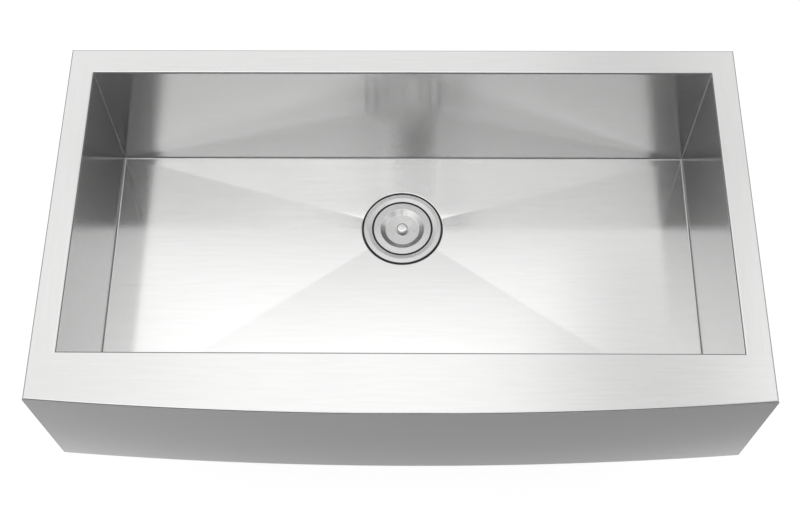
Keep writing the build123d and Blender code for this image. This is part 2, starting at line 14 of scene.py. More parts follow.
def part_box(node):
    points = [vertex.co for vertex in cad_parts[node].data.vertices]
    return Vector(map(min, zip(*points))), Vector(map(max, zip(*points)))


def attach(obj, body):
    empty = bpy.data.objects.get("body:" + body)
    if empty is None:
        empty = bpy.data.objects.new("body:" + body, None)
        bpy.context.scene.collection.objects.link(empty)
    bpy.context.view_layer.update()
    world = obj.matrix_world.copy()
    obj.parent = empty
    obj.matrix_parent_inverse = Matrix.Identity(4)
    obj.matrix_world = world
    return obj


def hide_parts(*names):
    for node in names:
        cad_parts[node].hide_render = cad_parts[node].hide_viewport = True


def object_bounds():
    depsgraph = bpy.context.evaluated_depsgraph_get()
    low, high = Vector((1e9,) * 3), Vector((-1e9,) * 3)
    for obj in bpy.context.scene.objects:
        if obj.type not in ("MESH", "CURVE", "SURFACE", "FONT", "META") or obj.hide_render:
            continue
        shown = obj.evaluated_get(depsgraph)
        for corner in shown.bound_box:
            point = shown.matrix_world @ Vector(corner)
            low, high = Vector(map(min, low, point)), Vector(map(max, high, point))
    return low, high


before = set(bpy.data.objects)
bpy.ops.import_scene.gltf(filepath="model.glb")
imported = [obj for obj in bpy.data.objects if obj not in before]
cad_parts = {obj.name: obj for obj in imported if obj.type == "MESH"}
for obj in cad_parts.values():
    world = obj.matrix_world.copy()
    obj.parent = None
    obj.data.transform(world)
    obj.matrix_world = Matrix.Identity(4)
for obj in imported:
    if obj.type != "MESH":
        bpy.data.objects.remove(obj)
cad_low, cad_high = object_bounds()

bl_info = {
    "name": "Farmhouse kitchen sink",
    "version": (1, 0, 0),
    "blender": (4, 5, 0),
    "location": "3D View > Sidebar > Sink",
    "description": "Builds a square-cornered steel sink with a bowed apron and a basket strainer",
    "category": "Add Mesh",
}

# ---------------------------------------------------------------------------
# Places that the frame gives
# ---------------------------------------------------------------------------
half_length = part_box("rim_back")[1].x
rim_back_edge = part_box("rim_back")[1].y
opening_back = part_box("rim_back")[0].y
opening_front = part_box("wall_front")[1].y
half_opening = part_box("wall_right")[0].x
half_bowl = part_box("wall_right")[1].x
bowl_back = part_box("wall_back")[1].y
bowl_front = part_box("wall_front")[0].y
floor_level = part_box("wall_back")[0].z
fold_drop = -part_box("wall_back")[1].z
hem_drop = -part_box("rim_left")[0].z
rim_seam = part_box("rim_left")[0].y
sheet = half_bowl - half_opening
bend = opening_front - rim_seam
apron_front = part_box("apron_face")[0].y
apron_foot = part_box("apron_face")[0].z
recess_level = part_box("flange_gasket")[0].z
drain_y = (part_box("lid_disc")[0].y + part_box("lid_disc")[1].y) / 2
drain = Vector((0.0, drain_y, 0.0))

# Points closer than this are merged, and edges that turn by more than this stay sharp.
MERGE_DISTANCE = 1e-6
SHARP_TURN = math.radians(32)


def across(node):
    """Radius of a round CAD node."""
    low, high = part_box(node)
    return (high.x - low.x) / 2


def round_drain(radius, angle, z):
    """Point at a radius, an angle and a height round the drain's axis."""
    return drain + Vector((radius * math.cos(angle), radius * math.sin(angle), z))


# ---------------------------------------------------------------------------
# Sizes and colours that a user would change
# ---------------------------------------------------------------------------
def number(name, note, value, **limits):
    """A number for the panel."""
    return bpy.props.FloatProperty(name=name, description=note, default=value, **limits)


def length(name, note, value):
    """A length in metres for the panel."""
    return number(name, note, value, unit="LENGTH", precision=5)


def factor(name, note, value):
    """A number that scales another value."""
    return number(name, note, value, min=0.0, soft_max=2.0)


def share(name, note, value):
    """A number from 0 to 1 for the panel."""
    return number(name, note, value, min=0.0, max=1.0, subtype="FACTOR")


def triple(name, note, value, **limits):
    """Three numbers for the panel."""
    return bpy.props.FloatVectorProperty(
        name=name, description=note, default=value, size=3, **limits
    )


def paint(name, note, value):
    """A colour for the panel."""
    return triple(name, note, value, min=0.0, max=1.0, subtype="COLOR")


def whole(name, note, value):
    """A count for the panel."""
    return bpy.props.IntProperty(name=name, description=note, default=value, min=1)


class SinkSheet(bpy.types.PropertyGroup):
    """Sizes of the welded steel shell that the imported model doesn't give by itself."""

    deck_width: length("Deck width", "Front deck at its two ends", 0.063)
    apron_inset: length("Apron inset", "Apron's lower corners, inwards of its upper ones", 0.006)
    cheek_return: length("Cheek return", "Return along the back edge of each cheek", 0.020)
    cheek_bend: length("Cheek bend", "Outside radius between a cheek and its return", 0.002)
    lip_width: length("Lip width", "Lip turned in along the apron's foot", 0.022)
    stay_position: length("Stay position", "Web of each stay, from the middle", 0.250)
    stay_flange: length("Stay flange", "Width of a stay's flanges", 0.016)
    floor_fall: length("Floor fall", "Fall of the floor from the walls to the drain", 0.006)
    recess_gap: length("Recess gap", "Flange's edge to the wall of the recess", 0.002)
    recess_round: length("Recess rounding", "Rounded edge of the recess in the floor", 0.0015)
    drain_hole: length("Drain hole", "Radius of the hole in the floor", 0.0463)
    floor_weld: length("Floor weld", "Radius of the weld along the foot of the walls", 0.0022)
    corner_weld: length("Corner weld", "Radius of the weld in the bowl's upright corners", 0.0006)


class SinkStrainer(bpy.types.PropertyGroup):
    """Sizes of the strainer, its basket and its lid."""

    wall: length("Wall", "Wall of the strainer's cup", 0.0012)
    flange_land: length("Flange land", "Flat band inside the flange's edge", 0.0065)
    flange_dish: length("Flange dish", "Fall of the flange towards the lid", 0.0008)
    seat_radius: length("Seat radius", "Step that the lid's seal rests on", 0.0447)
    seat_depth: length("Seat depth", "Flange to that step", 0.0022)
    neck_radius: length("Neck radius", "Inside of the neck under the step", 0.0426)
    neck_depth: length("Neck depth", "Step to the ledge in the neck", 0.0047)
    cup_radius: length("Cup radius", "Inside of the cup", 0.0395)
    cup_slope: length("Cup slope", "Height of the cup's sloping bottom", 0.008)
    outlet_radius: length("Outlet radius", "Bore of the outlet", 0.0195)
    crossbar_width: length("Crossbar width", "Cross over the outlet", 0.003)
    thread_pitch: length("Thread pitch", "Rise of the threads for each turn", 0.002)
    thread_depth: length("Thread depth", "Depth of the threads", 0.0008)
    cup_turns: whole("Cup turns", "Turns of the thread on the neck", 11)
    outlet_turns: whole("Outlet turns", "Turns of the thread on the outlet", 8)
    hub_radius: length("Nut hub", "Hub of the locknut", 0.0495)
    nut_face: length("Nut face", "Thickness of the locknut's broad face", 0.003)
    lugs: whole("Lugs", "Lugs on the locknut", 8)
    lug_width: length("Lug width", "Width of each lug", 0.008)
    lug_reach: length("Lug reach", "How far each lug stands out", 0.005)
    tube_radius: length("Tube radius", "Outside of the tailpiece", 0.01905)
    coupling_radius: length("Coupling radius", "Outside of the coupling nut", 0.02815)
    nut_shoulder: length("Nut shoulder", "Shoulder at the coupling nut's foot", 0.0028)
    flutes: whole("Flutes", "Grip flutes round the coupling nut", 12)
    flute_radius: length("Flute radius", "Radius of each flute", 0.003)
    flute_setout: length("Flute set-out", "Centres of the flutes, outside the nut's wall", 0.0015)
    basket_radius: length("Basket radius", "Outside of the basket's wall", 0.0386)
    basket_sheet: length("Basket sheet", "Sheet of the basket", 0.0008)
    basket_corner: length("Basket corner", "Rounding of the basket's lower corner", 0.004)
    hole_radius: length("Hole radius", "Radius of the perforations", 0.002)
    hole_columns: whole("Hole columns", "Holes in each row of the basket's wall", 14)
    hole_rows: whole("Hole rows", "Rows of holes in the basket's wall", 3)
    row_spacing: length("Row spacing", "Rows of holes, one to the next", 0.0075)
    row_drop: length("Row drop", "Basket's rim to the first row", 0.008)
    rings: whole("Hole rings", "Rings of holes in the basket's floor", 3)
    ring_spacing: length("Ring spacing", "Rings of holes, one to the next", 0.0085)
    strap_thickness: length("Strap thickness", "Sheet of the basket's strap", 0.0012)
    strap_rise: length("Strap rise", "Height of the strap's arch", 0.008)
    lid_sheet: length("Lid sheet", "Sheet of the lid", 0.001)
    seal_width: length("Seal width", "Rubber ring under the lid's edge", 0.007)
    dish_radius: length("Dish radius", "Upper edge of the lid's dish", 0.0323)
    dish_floor: length("Dish floor", "Radius of the dish's floor", 0.0249)
    dish_depth: length("Dish depth", "Flange to the dish's floor", 0.0042)
    dish_cone: length("Dish cone", "Extra fall to the middle of the dish", 0.0006)
    knob_neck: length("Knob neck", "Neck of the knob", 0.0046)
    knob_head: length("Knob head", "Height of the knob's head", 0.0044)
    screw_radius: length("Screw radius", "Thread of the knob's screw", 0.0025)
    screw_reach: length("Screw reach", "Thread of the screw inside the knob", 0.005)


class SinkFinish(bpy.types.PropertyGroup):
    """Colours and finishes."""

    steel: paint("Steel", "Brushed sheet", (0.664, 0.662, 0.66))
    wall_roughness: share("Wall roughness", "Roughness of the long walls", 0.17)
    side_roughness: share("Side roughness", "Roughness of the side walls", 0.13)
    apron_roughness: share("Apron roughness", "Roughness of the apron", 0.17)
    flat_roughness: share("Flat roughness", "Roughness of the rims and the deck", 0.18)
    floor_roughness: share("Floor roughness", "Roughness of the bowl's floor", 0.11)
    # Painted shade: the side walls and the apron's cheeks take the steel darkened by this share.
    side_shade_gain: factor("Side gain", "Side walls' colour as a share of the long walls' colour", 0.73)
    # Painted light: the bowl's floor takes the steel lightened by this share.
    floor_light_gain: factor("Floor gain", "Floor's colour as a share of the long walls' colour", 1.14)
    steel_grain: share("Steel grain", "How far the brushing draws out reflections", 0.95)
    turned: paint("Turned steel", "Flange and lid of the strainer", (0.664, 0.662, 0.66))
    polished: paint("Polished steel", "Knob and screw", (0.80, 0.80, 0.80))
    coat: paint("Undercoat", "Sprayed coat on the outside of the bowl", (0.33, 0.335, 0.34))
    pad: paint("Pads", "Sound pads", (0.075, 0.077, 0.08))
    rubber: paint("Rubber", "Gaskets and seal", (0.018, 0.018, 0.018))
    plated: paint("Plated metal", "Nuts and outlet", (0.55, 0.555, 0.56))
    tube: paint("Tube", "Tailpiece", (0.5, 0.505, 0.51))
    fibre: paint("Fibre", "Friction ring", (0.45, 0.33, 0.20))
    washer: paint("Washer", "Washer on the tailpiece", (0.80, 0.80, 0.77))


class SinkStage(bpy.types.PropertyGroup):
    """Camera, floor and light."""

    camera_place: triple(
        "Camera", "Place of the camera", (0.0151, -1.0556, 1.4878),
        subtype="TRANSLATION", unit="LENGTH",
    )
    camera_turn: triple(
        "Turn", "Turn of the camera", [math.radians(turn) for turn in (26.921, 0.408, 0.394)],
        subtype="EULER", unit="ROTATION",
    )
    lens: number("Lens", "Focal length on a 36 mm wide frame", 59.27, unit="CAMERA")
    surround: share("Surround", "Plain light from all round", 0.9)
    floor_drop: length("Floor drop", "Gap between the tailpiece and the floor", 0.0005)
    floor_size: length("Floor size", "Half the width of the floor", 12.0)
    floor_glow: share("Floor glow", "Floor's own light, as the camera sees it", 0.93)
    floor_shade: share("Floor shade", "Floor's colour under that light, for the shadow", 0.2)
    floor_colour: share("Floor colour", "Floor's colour as the light meets it", 0.8)


# ---------------------------------------------------------------------------
# Outlines and meshes
# ---------------------------------------------------------------------------
def rounded(corners, closed=True, steps=6):
    """Points of an outline whose corners, given as (u, v, radius), are rounded by arcs."""
    points = []
    last = len(corners) - 1
    for i, (u, v, radius) in enumerate(corners):
        here = Vector((u, v))
        if radius <= 0 or (not closed and i in (0, last)):
            points.append(here)
            continue
        back = (Vector(corners[i - 1][:2]) - here).normalized()
        onward = (Vector(corners[(i + 1) % len(corners)][:2]) - here).normalized()
        half = back.angle(onward) / 2
        centre = here + (back + onward).normalized() * radius / math.sin(half)
        first = here + back * radius / math.tan(half) - centre
        end = here + onward * radius / math.tan(half) - centre
        turn = math.atan2(first.cross(end), first.dot(end))
        for k in range(steps + 1):
            points.append(centre + Matrix.Rotation(turn * k / steps, 2) @ first)
    return points


def rounded_box(left, right, low, high, radius):
    """Outline of a rectangle with rounded corners."""
    return rounded(
        [(left, low, radius), (right, low, radius), (right, high, radius), (left, high, radius)]
    )


def quarter(steps):
    """Angles of a quarter turn in equal steps."""
    return [math.radians(90 * k / steps) for k in range(steps + 1)]


def arc_steps(radius, steps):
    """Distances from a side at which the arc that rounds its edge has its points."""
    return [radius * (1 - math.cos(angle)) for angle in quarter(steps)]


def arc_drop(radius, distance):
    """How far an edge rounded by an arc lies below the top, at a distance from the side."""
    return radius - math.sqrt(max(0.0, radius**2 - (radius - min(distance, radius)) ** 2))


def bow(x, setback=0.0):
    """Y of the apron's bow, or of a line set back from it."""
    deck = bpy.context.scene.sink_sheet.deck_width
    rise = opening_front - deck - apron_front
    radius = (half_length**2 + rise**2) / (2 * rise)
    return apron_front + radius - math.sqrt((radius - setback) ** 2 - x**2)


def apron_half_width(z):
    """Half the apron's length at a height, as its ends slant."""
    inset = bpy.context.scene.sink_sheet.apron_inset
    return half_length - inset * (-fold_drop - z) / (-fold_drop - apron_foot)


def bowed_row(width, setback, z, steps):
    """Row of points along the bow, as far as a width to each side of the middle."""
    places = [width * (2 * k / steps - 1) for k in range(steps + 1)]
    return [Vector((x, bow(x, setback), z)) for x in places]


def floor_height(x, y):
    """Top of the pitched floor over a point of the plan."""
    towards = opening_back if y > drain_y else opening_front
    away = max(abs(x) / half_opening, (y - drain_y) / (towards - drain_y))
    return floor_level - bpy.context.scene.sink_sheet.floor_fall * (1 - away)


def net(bm, rows, closed=False):
    """Join rows of points into a net of faces; closed joins each row's ends as well."""
    lines = [[bm.verts.new(p) for p in row] for row in rows]
    for a, b in zip(lines, lines[1:]):
        pairs = list(zip(a, b))
        if closed:
            pairs.append(pairs[0])
        for (a0, b0), (a1, b1) in zip(pairs, pairs[1:]):
            bm.faces.new((a0, b0, b1, a1))


def clean(bm, outward=None):
    """Merge doubles, turn the faces outwards and mark the sharp edges."""
    bmesh.ops.remove_doubles(bm, verts=bm.verts, dist=MERGE_DISTANCE)
    bmesh.ops.dissolve_degenerate(bm, edges=bm.edges, dist=MERGE_DISTANCE)
    bmesh.ops.recalc_face_normals(bm, faces=bm.faces)
    bm.normal_update()
    if outward is not None:
        side = sum((f.normal * f.calc_area() for f in bm.faces), Vector()).dot(Vector(outward))
        if side < 0:
            bmesh.ops.reverse_faces(bm, faces=bm.faces)
    mark_sharp(bm)


def mark_sharp(bm):
    """Smooth every face and keep the edges that turn sharply."""
    for face in bm.faces:
        face.smooth = True
    for edge in bm.edges:
        edge.smooth = len(edge.link_faces) == 2 and edge.calc_face_angle(0) < SHARP_TURN


def made(name, bm, materials):
    """Turn a bmesh into an object that carries these materials."""
    mesh = bpy.data.meshes.new(name)
    bm.to_mesh(mesh)
    bm.free()
    piece = bpy.data.objects.new(name, mesh)
    bpy.context.scene.collection.objects.link(piece)
    for metal in materials:
        mesh.materials.append(metal)
    return piece


def apply_modifiers(piece):
    """Replace a piece's mesh by the plain mesh that its modifiers give."""
    bpy.context.view_layer.update()
    depsgraph = bpy.context.evaluated_depsgraph_get()
    mesh = bpy.data.meshes.new_from_object(piece.evaluated_get(depsgraph), depsgraph=depsgraph)
    old = piece.data
    piece.modifiers.clear()
    piece.data = mesh
    bpy.data.meshes.remove(old)
    mesh.name = piece.name


def settle(piece):
    """Leave a plain mesh whose flat faces shade flat and whose arcs shade smoothly."""
    if piece.modifiers:
        apply_modifiers(piece)
        bm = bmesh.new()
        bm.from_mesh(piece.data)
        mark_sharp(bm)
        bm.to_mesh(piece.data)
        bm.free()
    even = piece.modifiers.new("even_shading", "WEIGHTED_NORMAL")
    even.keep_sharp = True
    even.weight = 100
    apply_modifiers(piece)
    return piece


def loose_piece(name, bm, look):
    """Finish a closed mesh as a piece of one material."""
    clean(bm)
    return settle(made(name, bm, [material(look)]))


def close_ends(bm):
    """Fill the open ends of a tube of faces."""
    bmesh.ops.holes_fill(bm, edges=[edge for edge in bm.edges if edge.is_boundary])


def sheet_piece(name, node, bm, outward, *looks, slot="brushed_sheet"):
    """Make a CAD node's sheet by thickening a net of its outside faces inwards.

    looks are the finishes of its outside and of its inside, where that differs.
    """
    clean(bm, outward)
    piece = made(name, bm, [material(look) for look in looks])
    wall = piece.modifiers.new("thickness", "SOLIDIFY")
    wall.thickness = sheet
    wall.offset = -1
    wall.use_even_offset = True
    wall.material_offset = len(looks) - 1
    wall.material_offset_rim = len(looks) - 1
    belong(settle(piece), "sink", slot, node)


def turned_piece(name, outline, look, steps=144, shape=None):
    """Turn a closed outline of (radius, height) round the drain; shape may alter a radius."""
    rows = []
    for k in range(steps):
        angle = math.tau * k / steps
        rows.append([round_drain(shape(r, z, angle) if shape else r, angle, z) for r, z in outline])
    bm = bmesh.new()
    net(bm, [*rows, rows[0]], closed=True)
    return loose_piece(name, bm, look)


def belong(piece, body, slot, *nodes):
    """Attach a piece to the body that it rides on and hide the nodes that it stands for; slot is
    not used.
    """
    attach(piece, body)
    if nodes:
        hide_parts(*nodes)


# ---------------------------------------------------------------------------
# Node trees
# ---------------------------------------------------------------------------
class Wire:
    """A node's output, which Python's operators turn into Math nodes."""

    def __init__(self, recipe, socket):
        self.recipe = recipe
        self.socket = socket

    def maths(self, operation, *values):
        """Add a Math node on these values."""
        return self.recipe.wire("ShaderNodeMath", {"operation": operation}, dict(enumerate(values)))

    def __add__(self, other):
        return self.maths("ADD", self, other)

    def __radd__(self, other):
        return self.maths("ADD", other, self)

    def __sub__(self, other):
        return self.maths("SUBTRACT", self, other)

    def __rsub__(self, other):
        return self.maths("SUBTRACT", other, self)

    def __mul__(self, other):
        return self.maths("MULTIPLY", self, other)

    def __rmul__(self, other):
        return self.maths("MULTIPLY", other, self)

    def __truediv__(self, other):
        return self.maths("DIVIDE", self, other)

    def limited(self, low, high):
        """0 at low and below, 1 at high and above, and a smooth step between."""
        return self.recipe.wire(
            "ShaderNodeMapRange",
            {"interpolation_type": "SMOOTHSTEP"},
            {"Value": self, "From Min": low, "From Max": high},
        )


class Recipe:
    """Adds nodes to a tree and links them."""

    def __init__(self, tree):
        self.tree = tree
        tree.nodes.clear()

    def node(self, kind, settings=None, sockets=None):
        """Add a node: its settings first, then the values or links of its sockets."""
        added = self.tree.nodes.new(kind)
        for name, value in (settings or {}).items():
            setattr(added, name, value)
        for name, value in (sockets or {}).items():
            if isinstance(value, Wire):
                self.tree.links.new(value.socket, added.inputs[name])
            else:
                added.inputs[name].default_value = value
        return added

    def wire(self, kind, settings=None, sockets=None, output=0):
        """Add a node and return one of its outputs."""
        return Wire(self, self.node(kind, settings, sockets).outputs[output])

    def blend(self, factor, first, second):
        """Mix two colours."""
        node = self.node("ShaderNodeMix", {"data_type": "RGBA"}, {0: factor})
        for index, value in ((6, first), (7, second)):
            if isinstance(value, Wire):
                self.tree.links.new(value.socket, node.inputs[index])
            else:
                node.inputs[index].default_value = (*value, 1.0)
        return Wire(self, node.outputs[2])

    def noise(self, scale, stretch=(1, 1, 1), detail=2.0, roughness=0.5):
        """Noise on object coordinates, with the pattern stretched along some axes."""
        place = self.wire("ShaderNodeTexCoord", output="Object")
        mapped = self.wire("ShaderNodeMapping", {}, {"Vector": place, "Scale": stretch})
        return self.wire(
            "ShaderNodeTexNoise",
            {},
            {"Vector": mapped, "Scale": scale, "Detail": detail, "Roughness": roughness},
        )

    def vector(self, operation, *values, output="Vector"):
        """Add a Vector Math node on these values."""
        return self.wire(
            "ShaderNodeVectorMath", {"operation": operation}, dict(enumerate(values)), output
        )

    def bump(self, height, strength, distance):
        """Normal that a height gives."""
        return self.wire(
            "ShaderNodeBump", {}, {"Height": height, "Strength": strength, "Distance": distance}
        )

    def surface(self, shader, kind="ShaderNodeOutputMaterial"):
        """End a material's or the world's tree."""
        self.node(kind, {}, {"Surface": shader})


def blank(name):
    """New material, and the recipe that fills its node tree."""
    metal = bpy.data.materials.new(name)
    metal.use_nodes = True
    return metal, Recipe(metal.node_tree)


def finish(name, build):
    """Make a material: build adds nodes and returns the values of the shader's sockets."""
    metal, recipe = blank(name)
    recipe.surface(recipe.wire("ShaderNodeBsdfPrincipled", {}, build(recipe)))
    return metal


def shade(colour, amount):
    """A colour made darker or lighter."""
    return tuple(min(1.0, part * amount) for part in colour)


# How the noise is stretched along the brushing, for fine marks and for the broader bands
# that show from a step away. The key is the axis that the brushing follows.
GRAIN = {"x": (0.02, 1.0, 1.0), "y": (1.0, 0.02, 1.0)}
BANDS = {"x": (0.08, 1.0, 1.0), "y": (1.0, 0.08, 1.0)}

# Turn of the shader's tangent, as a share of a full turn.
TANGENT_TURN = 0.25


def brushed(name, grain, colour, roughness, anisotropy, depth=0.04):
    """Steel sheet brushed in one direction; depth is that of the brush marks."""

    def build(recipe):
        fine = recipe.noise(2600.0, GRAIN[grain])
        streak = recipe.noise(420.0, GRAIN[grain], 3.0, 0.6)
        cloud = recipe.noise(5.0)
        band = recipe.noise(220.0, BANDS[grain])
        tone = (0.15 * fine + 0.25 * streak + 0.4 * band + 0.2 * cloud).limited(0.35, 0.65)
        return {
            "Base Color": recipe.blend(tone, shade(colour, 0.982), shade(colour, 1.018)),
            "Metallic": 1.0,
            "Roughness": roughness - 0.02 + 0.03 * streak + 0.02 * cloud,
            "Anisotropic": anisotropy,
            "Anisotropic Rotation": TANGENT_TURN,
            "Normal": recipe.bump(fine * 0.9 + streak * 0.1, depth, 0.00003),
        }

    return finish(name, build)


def turned_steel(name, colour, roughness, anisotropy):
    """Steel brushed in rings round the drain's axis."""

    def build(recipe):
        place = recipe.wire("ShaderNodeTexCoord", output="Object")
        centred = recipe.vector("SUBTRACT", place, drain)
        flat = recipe.vector("MULTIPLY", centred, (1.0, 1.0, 0.0))
        radius = recipe.vector("LENGTH", flat, output="Value")
        height = recipe.wire("ShaderNodeSeparateXYZ", {}, {0: centred}, output="Z")
        rings = recipe.wire(
            "ShaderNodeTexNoise",
            {"noise_dimensions": "1D"},
            {"W": radius + height, "Scale": 1500.0, "Detail": 4.0, "Roughness": 0.7},
        )
        tone = rings * 0.6 + recipe.noise(60.0) * 0.4
        return {
            "Base Color": recipe.blend(tone, shade(colour, 0.93), shade(colour, 1.06)),
            "Metallic": 1.0,
            "Roughness": roughness - 0.04 + 0.08 * rings,
            "Anisotropic": anisotropy,
            "Anisotropic Rotation": TANGENT_TURN,
            "Normal": recipe.bump(rings, 0.12, 0.00006),
        }

    return finish(name, build)


def plain_metal(name, colour, roughness, speck=0.04):
    """Polished or plated metal with faint specks and smears."""

    def build(recipe):
        smear = recipe.noise(90.0, detail=3.0, roughness=0.6)
        fine = recipe.noise(1200.0)
        return {
            "Base Color": recipe.blend(smear, shade(colour, 1 - speck), shade(colour, 1 + speck)),
            "Metallic": 1.0,
            "Roughness": roughness + 0.06 * smear,
            "Normal": recipe.bump(fine, 0.05, 0.00005),
        }

    return finish(name, build)


def matt(name, colour, roughness, grain_size, grain_depth):
    """Rubber, coating or fibre with a fine grain and a few lighter specks."""

    def build(recipe):
        grain = recipe.noise(grain_size, detail=4.0, roughness=0.6)
        tone = (grain * 0.6 + recipe.noise(14.0) * 0.4).limited(0.35, 0.65)
        return {
            "Base Color": recipe.blend(tone, shade(colour, 0.82), shade(colour, 1.16)),
            "Roughness": roughness - 0.06 + 0.12 * grain,
            "Normal": recipe.bump(grain, 0.5, grain_depth),
        }

    return finish(name, build)


finishes = {}


def material(name):
    """A finish of the sink, made when it is first asked for."""
    if name in finishes:
        return finishes[name]
    look = bpy.context.scene.sink_finish
    steel, grain, flat = tuple(look.steel), look.steel_grain, look.flat_roughness
    # Painted shade and painted light: a darker copy of the steel for the side walls and cheeks, a
    # lighter one for the floor.
    shaded_side_steel, floor_steel = shade(steel, look.side_shade_gain), shade(steel, look.floor_light_gain)
    recipes = {
        # direction of the brushing, colour, roughness, anisotropy and depth of the marks
        "wall_steel_x": (brushed, "x", steel, look.wall_roughness, grain),
        # painted shade: the side walls and cheeks take a darker copy of the same steel
        "wall_steel_y": (brushed, "y", shaded_side_steel, look.side_roughness, grain, 0.012),
        "apron_steel": (brushed, "x", steel, look.apron_roughness, grain),
        "flat_steel_x": (brushed, "x", steel, flat, 0.0),
        "flat_steel_y": (brushed, "y", steel, flat, 0.0),
        # painted light: the floor takes a lighter copy of the same steel
        "floor_steel": (brushed, "x", floor_steel, look.floor_roughness, 0.0, 0.08),
        # colour, roughness and anisotropy
        "turned_steel": (turned_steel, look.turned, 0.26, 0.85),
        # colour, roughness and specks
        "plain_steel": (plain_metal, shade(steel, 0.85), 0.38, 0.05),
        "weld_steel": (plain_metal, steel, 0.22, 0.03),
        # painted shade: the upright corner welds take a darker copy of the steel
        "corner_steel": (plain_metal, shade(steel, 0.6), 0.3, 0.03),
        "polished_steel": (plain_metal, look.polished, 0.10),
        "basket_steel": (plain_metal, look.turned, 0.22),
        "plated": (plain_metal, look.plated, 0.34, 0.08),
        "tube": (plain_metal, look.tube, 0.16),
        # colour, roughness, and the grain's scale and depth
        "undercoat": (matt, look.coat, 0.85, 420.0, 0.0006),
        "pad_rubber": (matt, look.pad, 0.78, 260.0, 0.0004),
        "black_rubber": (matt, look.rubber, 0.6, 900.0, 0.0001),
        "fibre": (matt, look.fibre, 0.9, 700.0, 0.0003),
        "white_washer": (matt, look.washer, 0.45, 800.0, 0.0001),
    }
    make, *values = recipes[name]
    finishes[name] = make(name, *values)
    return finishes[name]


# ---------------------------------------------------------------------------
# Geometry Nodes
# ---------------------------------------------------------------------------
def geometry_tree(name, inputs):
    """Start a tree with named inputs; returns its recipe and a wire for each input."""
    tree = bpy.data.node_groups.new(name, "GeometryNodeTree")
    tree.interface.new_socket("Geometry", in_out="OUTPUT", socket_type="NodeSocketGeometry")
    tree.interface.new_socket("Geometry", in_out="INPUT", socket_type="NodeSocketGeometry")
    for label, kind in inputs.items():
        tree.interface.new_socket(label, in_out="INPUT", socket_type=kind)
    recipe = Recipe(tree)
    source = recipe.node("NodeGroupInput")
    return recipe, {socket.name: Wire(recipe, socket) for socket in source.outputs if socket.name}


def end_tree(recipe, geometry, metal):
    """End a tree with Realize Instances and Set Material."""
    real = recipe.wire("GeometryNodeRealizeInstances", {}, {"Geometry": geometry})
    painted = recipe.wire("GeometryNodeSetMaterial", {}, {"Geometry": real, "Material": metal})
    recipe.node("NodeGroupOutput", {}, {"Geometry": painted})


def run_tree(piece, recipe, values):
    """Run a tree on a piece with values for its named inputs, and leave a plain mesh."""
    modifier = piece.modifiers.new("nodes", "NODES")
    modifier.node_group = recipe.tree
    for socket in recipe.tree.interface.items_tree:
        if socket.in_out == "INPUT" and socket.name in values:
            modifier[socket.identifier] = values[socket.name]
    return settle(piece)


def spun_copies(metal):
    """Tree that repeats the piece round the drain's axis."""
    recipe, given = geometry_tree(
        "spun_copies", {"Copies": "NodeSocketInt", "Centre": "NodeSocketVector"}
    )
    back = recipe.wire(
        "ShaderNodeVectorMath", {"operation": "SCALE"}, {0: given["Centre"], "Scale": -1.0}
    )
    at_axis = recipe.wire(
        "GeometryNodeTransform", {}, {"Geometry": given["Geometry"], "Translation": back}
    )
    points = recipe.wire("GeometryNodePoints", {}, {"Count": given["Copies"]})
    index = recipe.wire("GeometryNodeInputIndex")
    turn = recipe.wire("ShaderNodeCombineXYZ", {}, {"Z": index / given["Copies"] * math.tau})
    copies = recipe.wire(
        "GeometryNodeInstanceOnPoints",
        {},
        {"Points": points, "Instance": at_axis, "Rotation": turn},
    )
    home = recipe.wire(
        "GeometryNodeTransform", {}, {"Geometry": copies, "Translation": given["Centre"]}
    )
    end_tree(recipe, home, metal)
    return recipe


# ---------------------------------------------------------------------------
# Bowl
# ---------------------------------------------------------------------------
def build_walls():
    """Four walls: brushed inside, with a sprayed coat outside."""
    # name, direction of the brushing, start and end of the inside face, and where it faces
    walls = (
        ("back", "x", (half_bowl, opening_back), (-half_bowl, opening_back), (0, -1, 0)),
        ("front", "x", (-half_bowl, opening_front), (half_bowl, opening_front), (0, 1, 0)),
        ("left", "y", (-half_opening, opening_back), (-half_opening, opening_front), (1, 0, 0)),
        ("right", "y", (half_opening, opening_front), (half_opening, opening_back), (-1, 0, 0)),
    )
    levels = (floor_level, (floor_level - fold_drop) / 2, -fold_drop)
    steps = 24
    for name, grain, start, end, facing in walls:
        line = [Vector(start).lerp(Vector(end), k / steps) for k in range(steps + 1)]
        bm = bmesh.new()
        net(bm, [[(*point, z) for point in line] for z in levels])
        # The side walls, brushed along y, take the darker copy of the steel: painted shade.
        looks = ("wall_steel_" + grain, "undercoat")
        sheet_piece(name + "_wall", "wall_" + name, bm, facing, *looks)


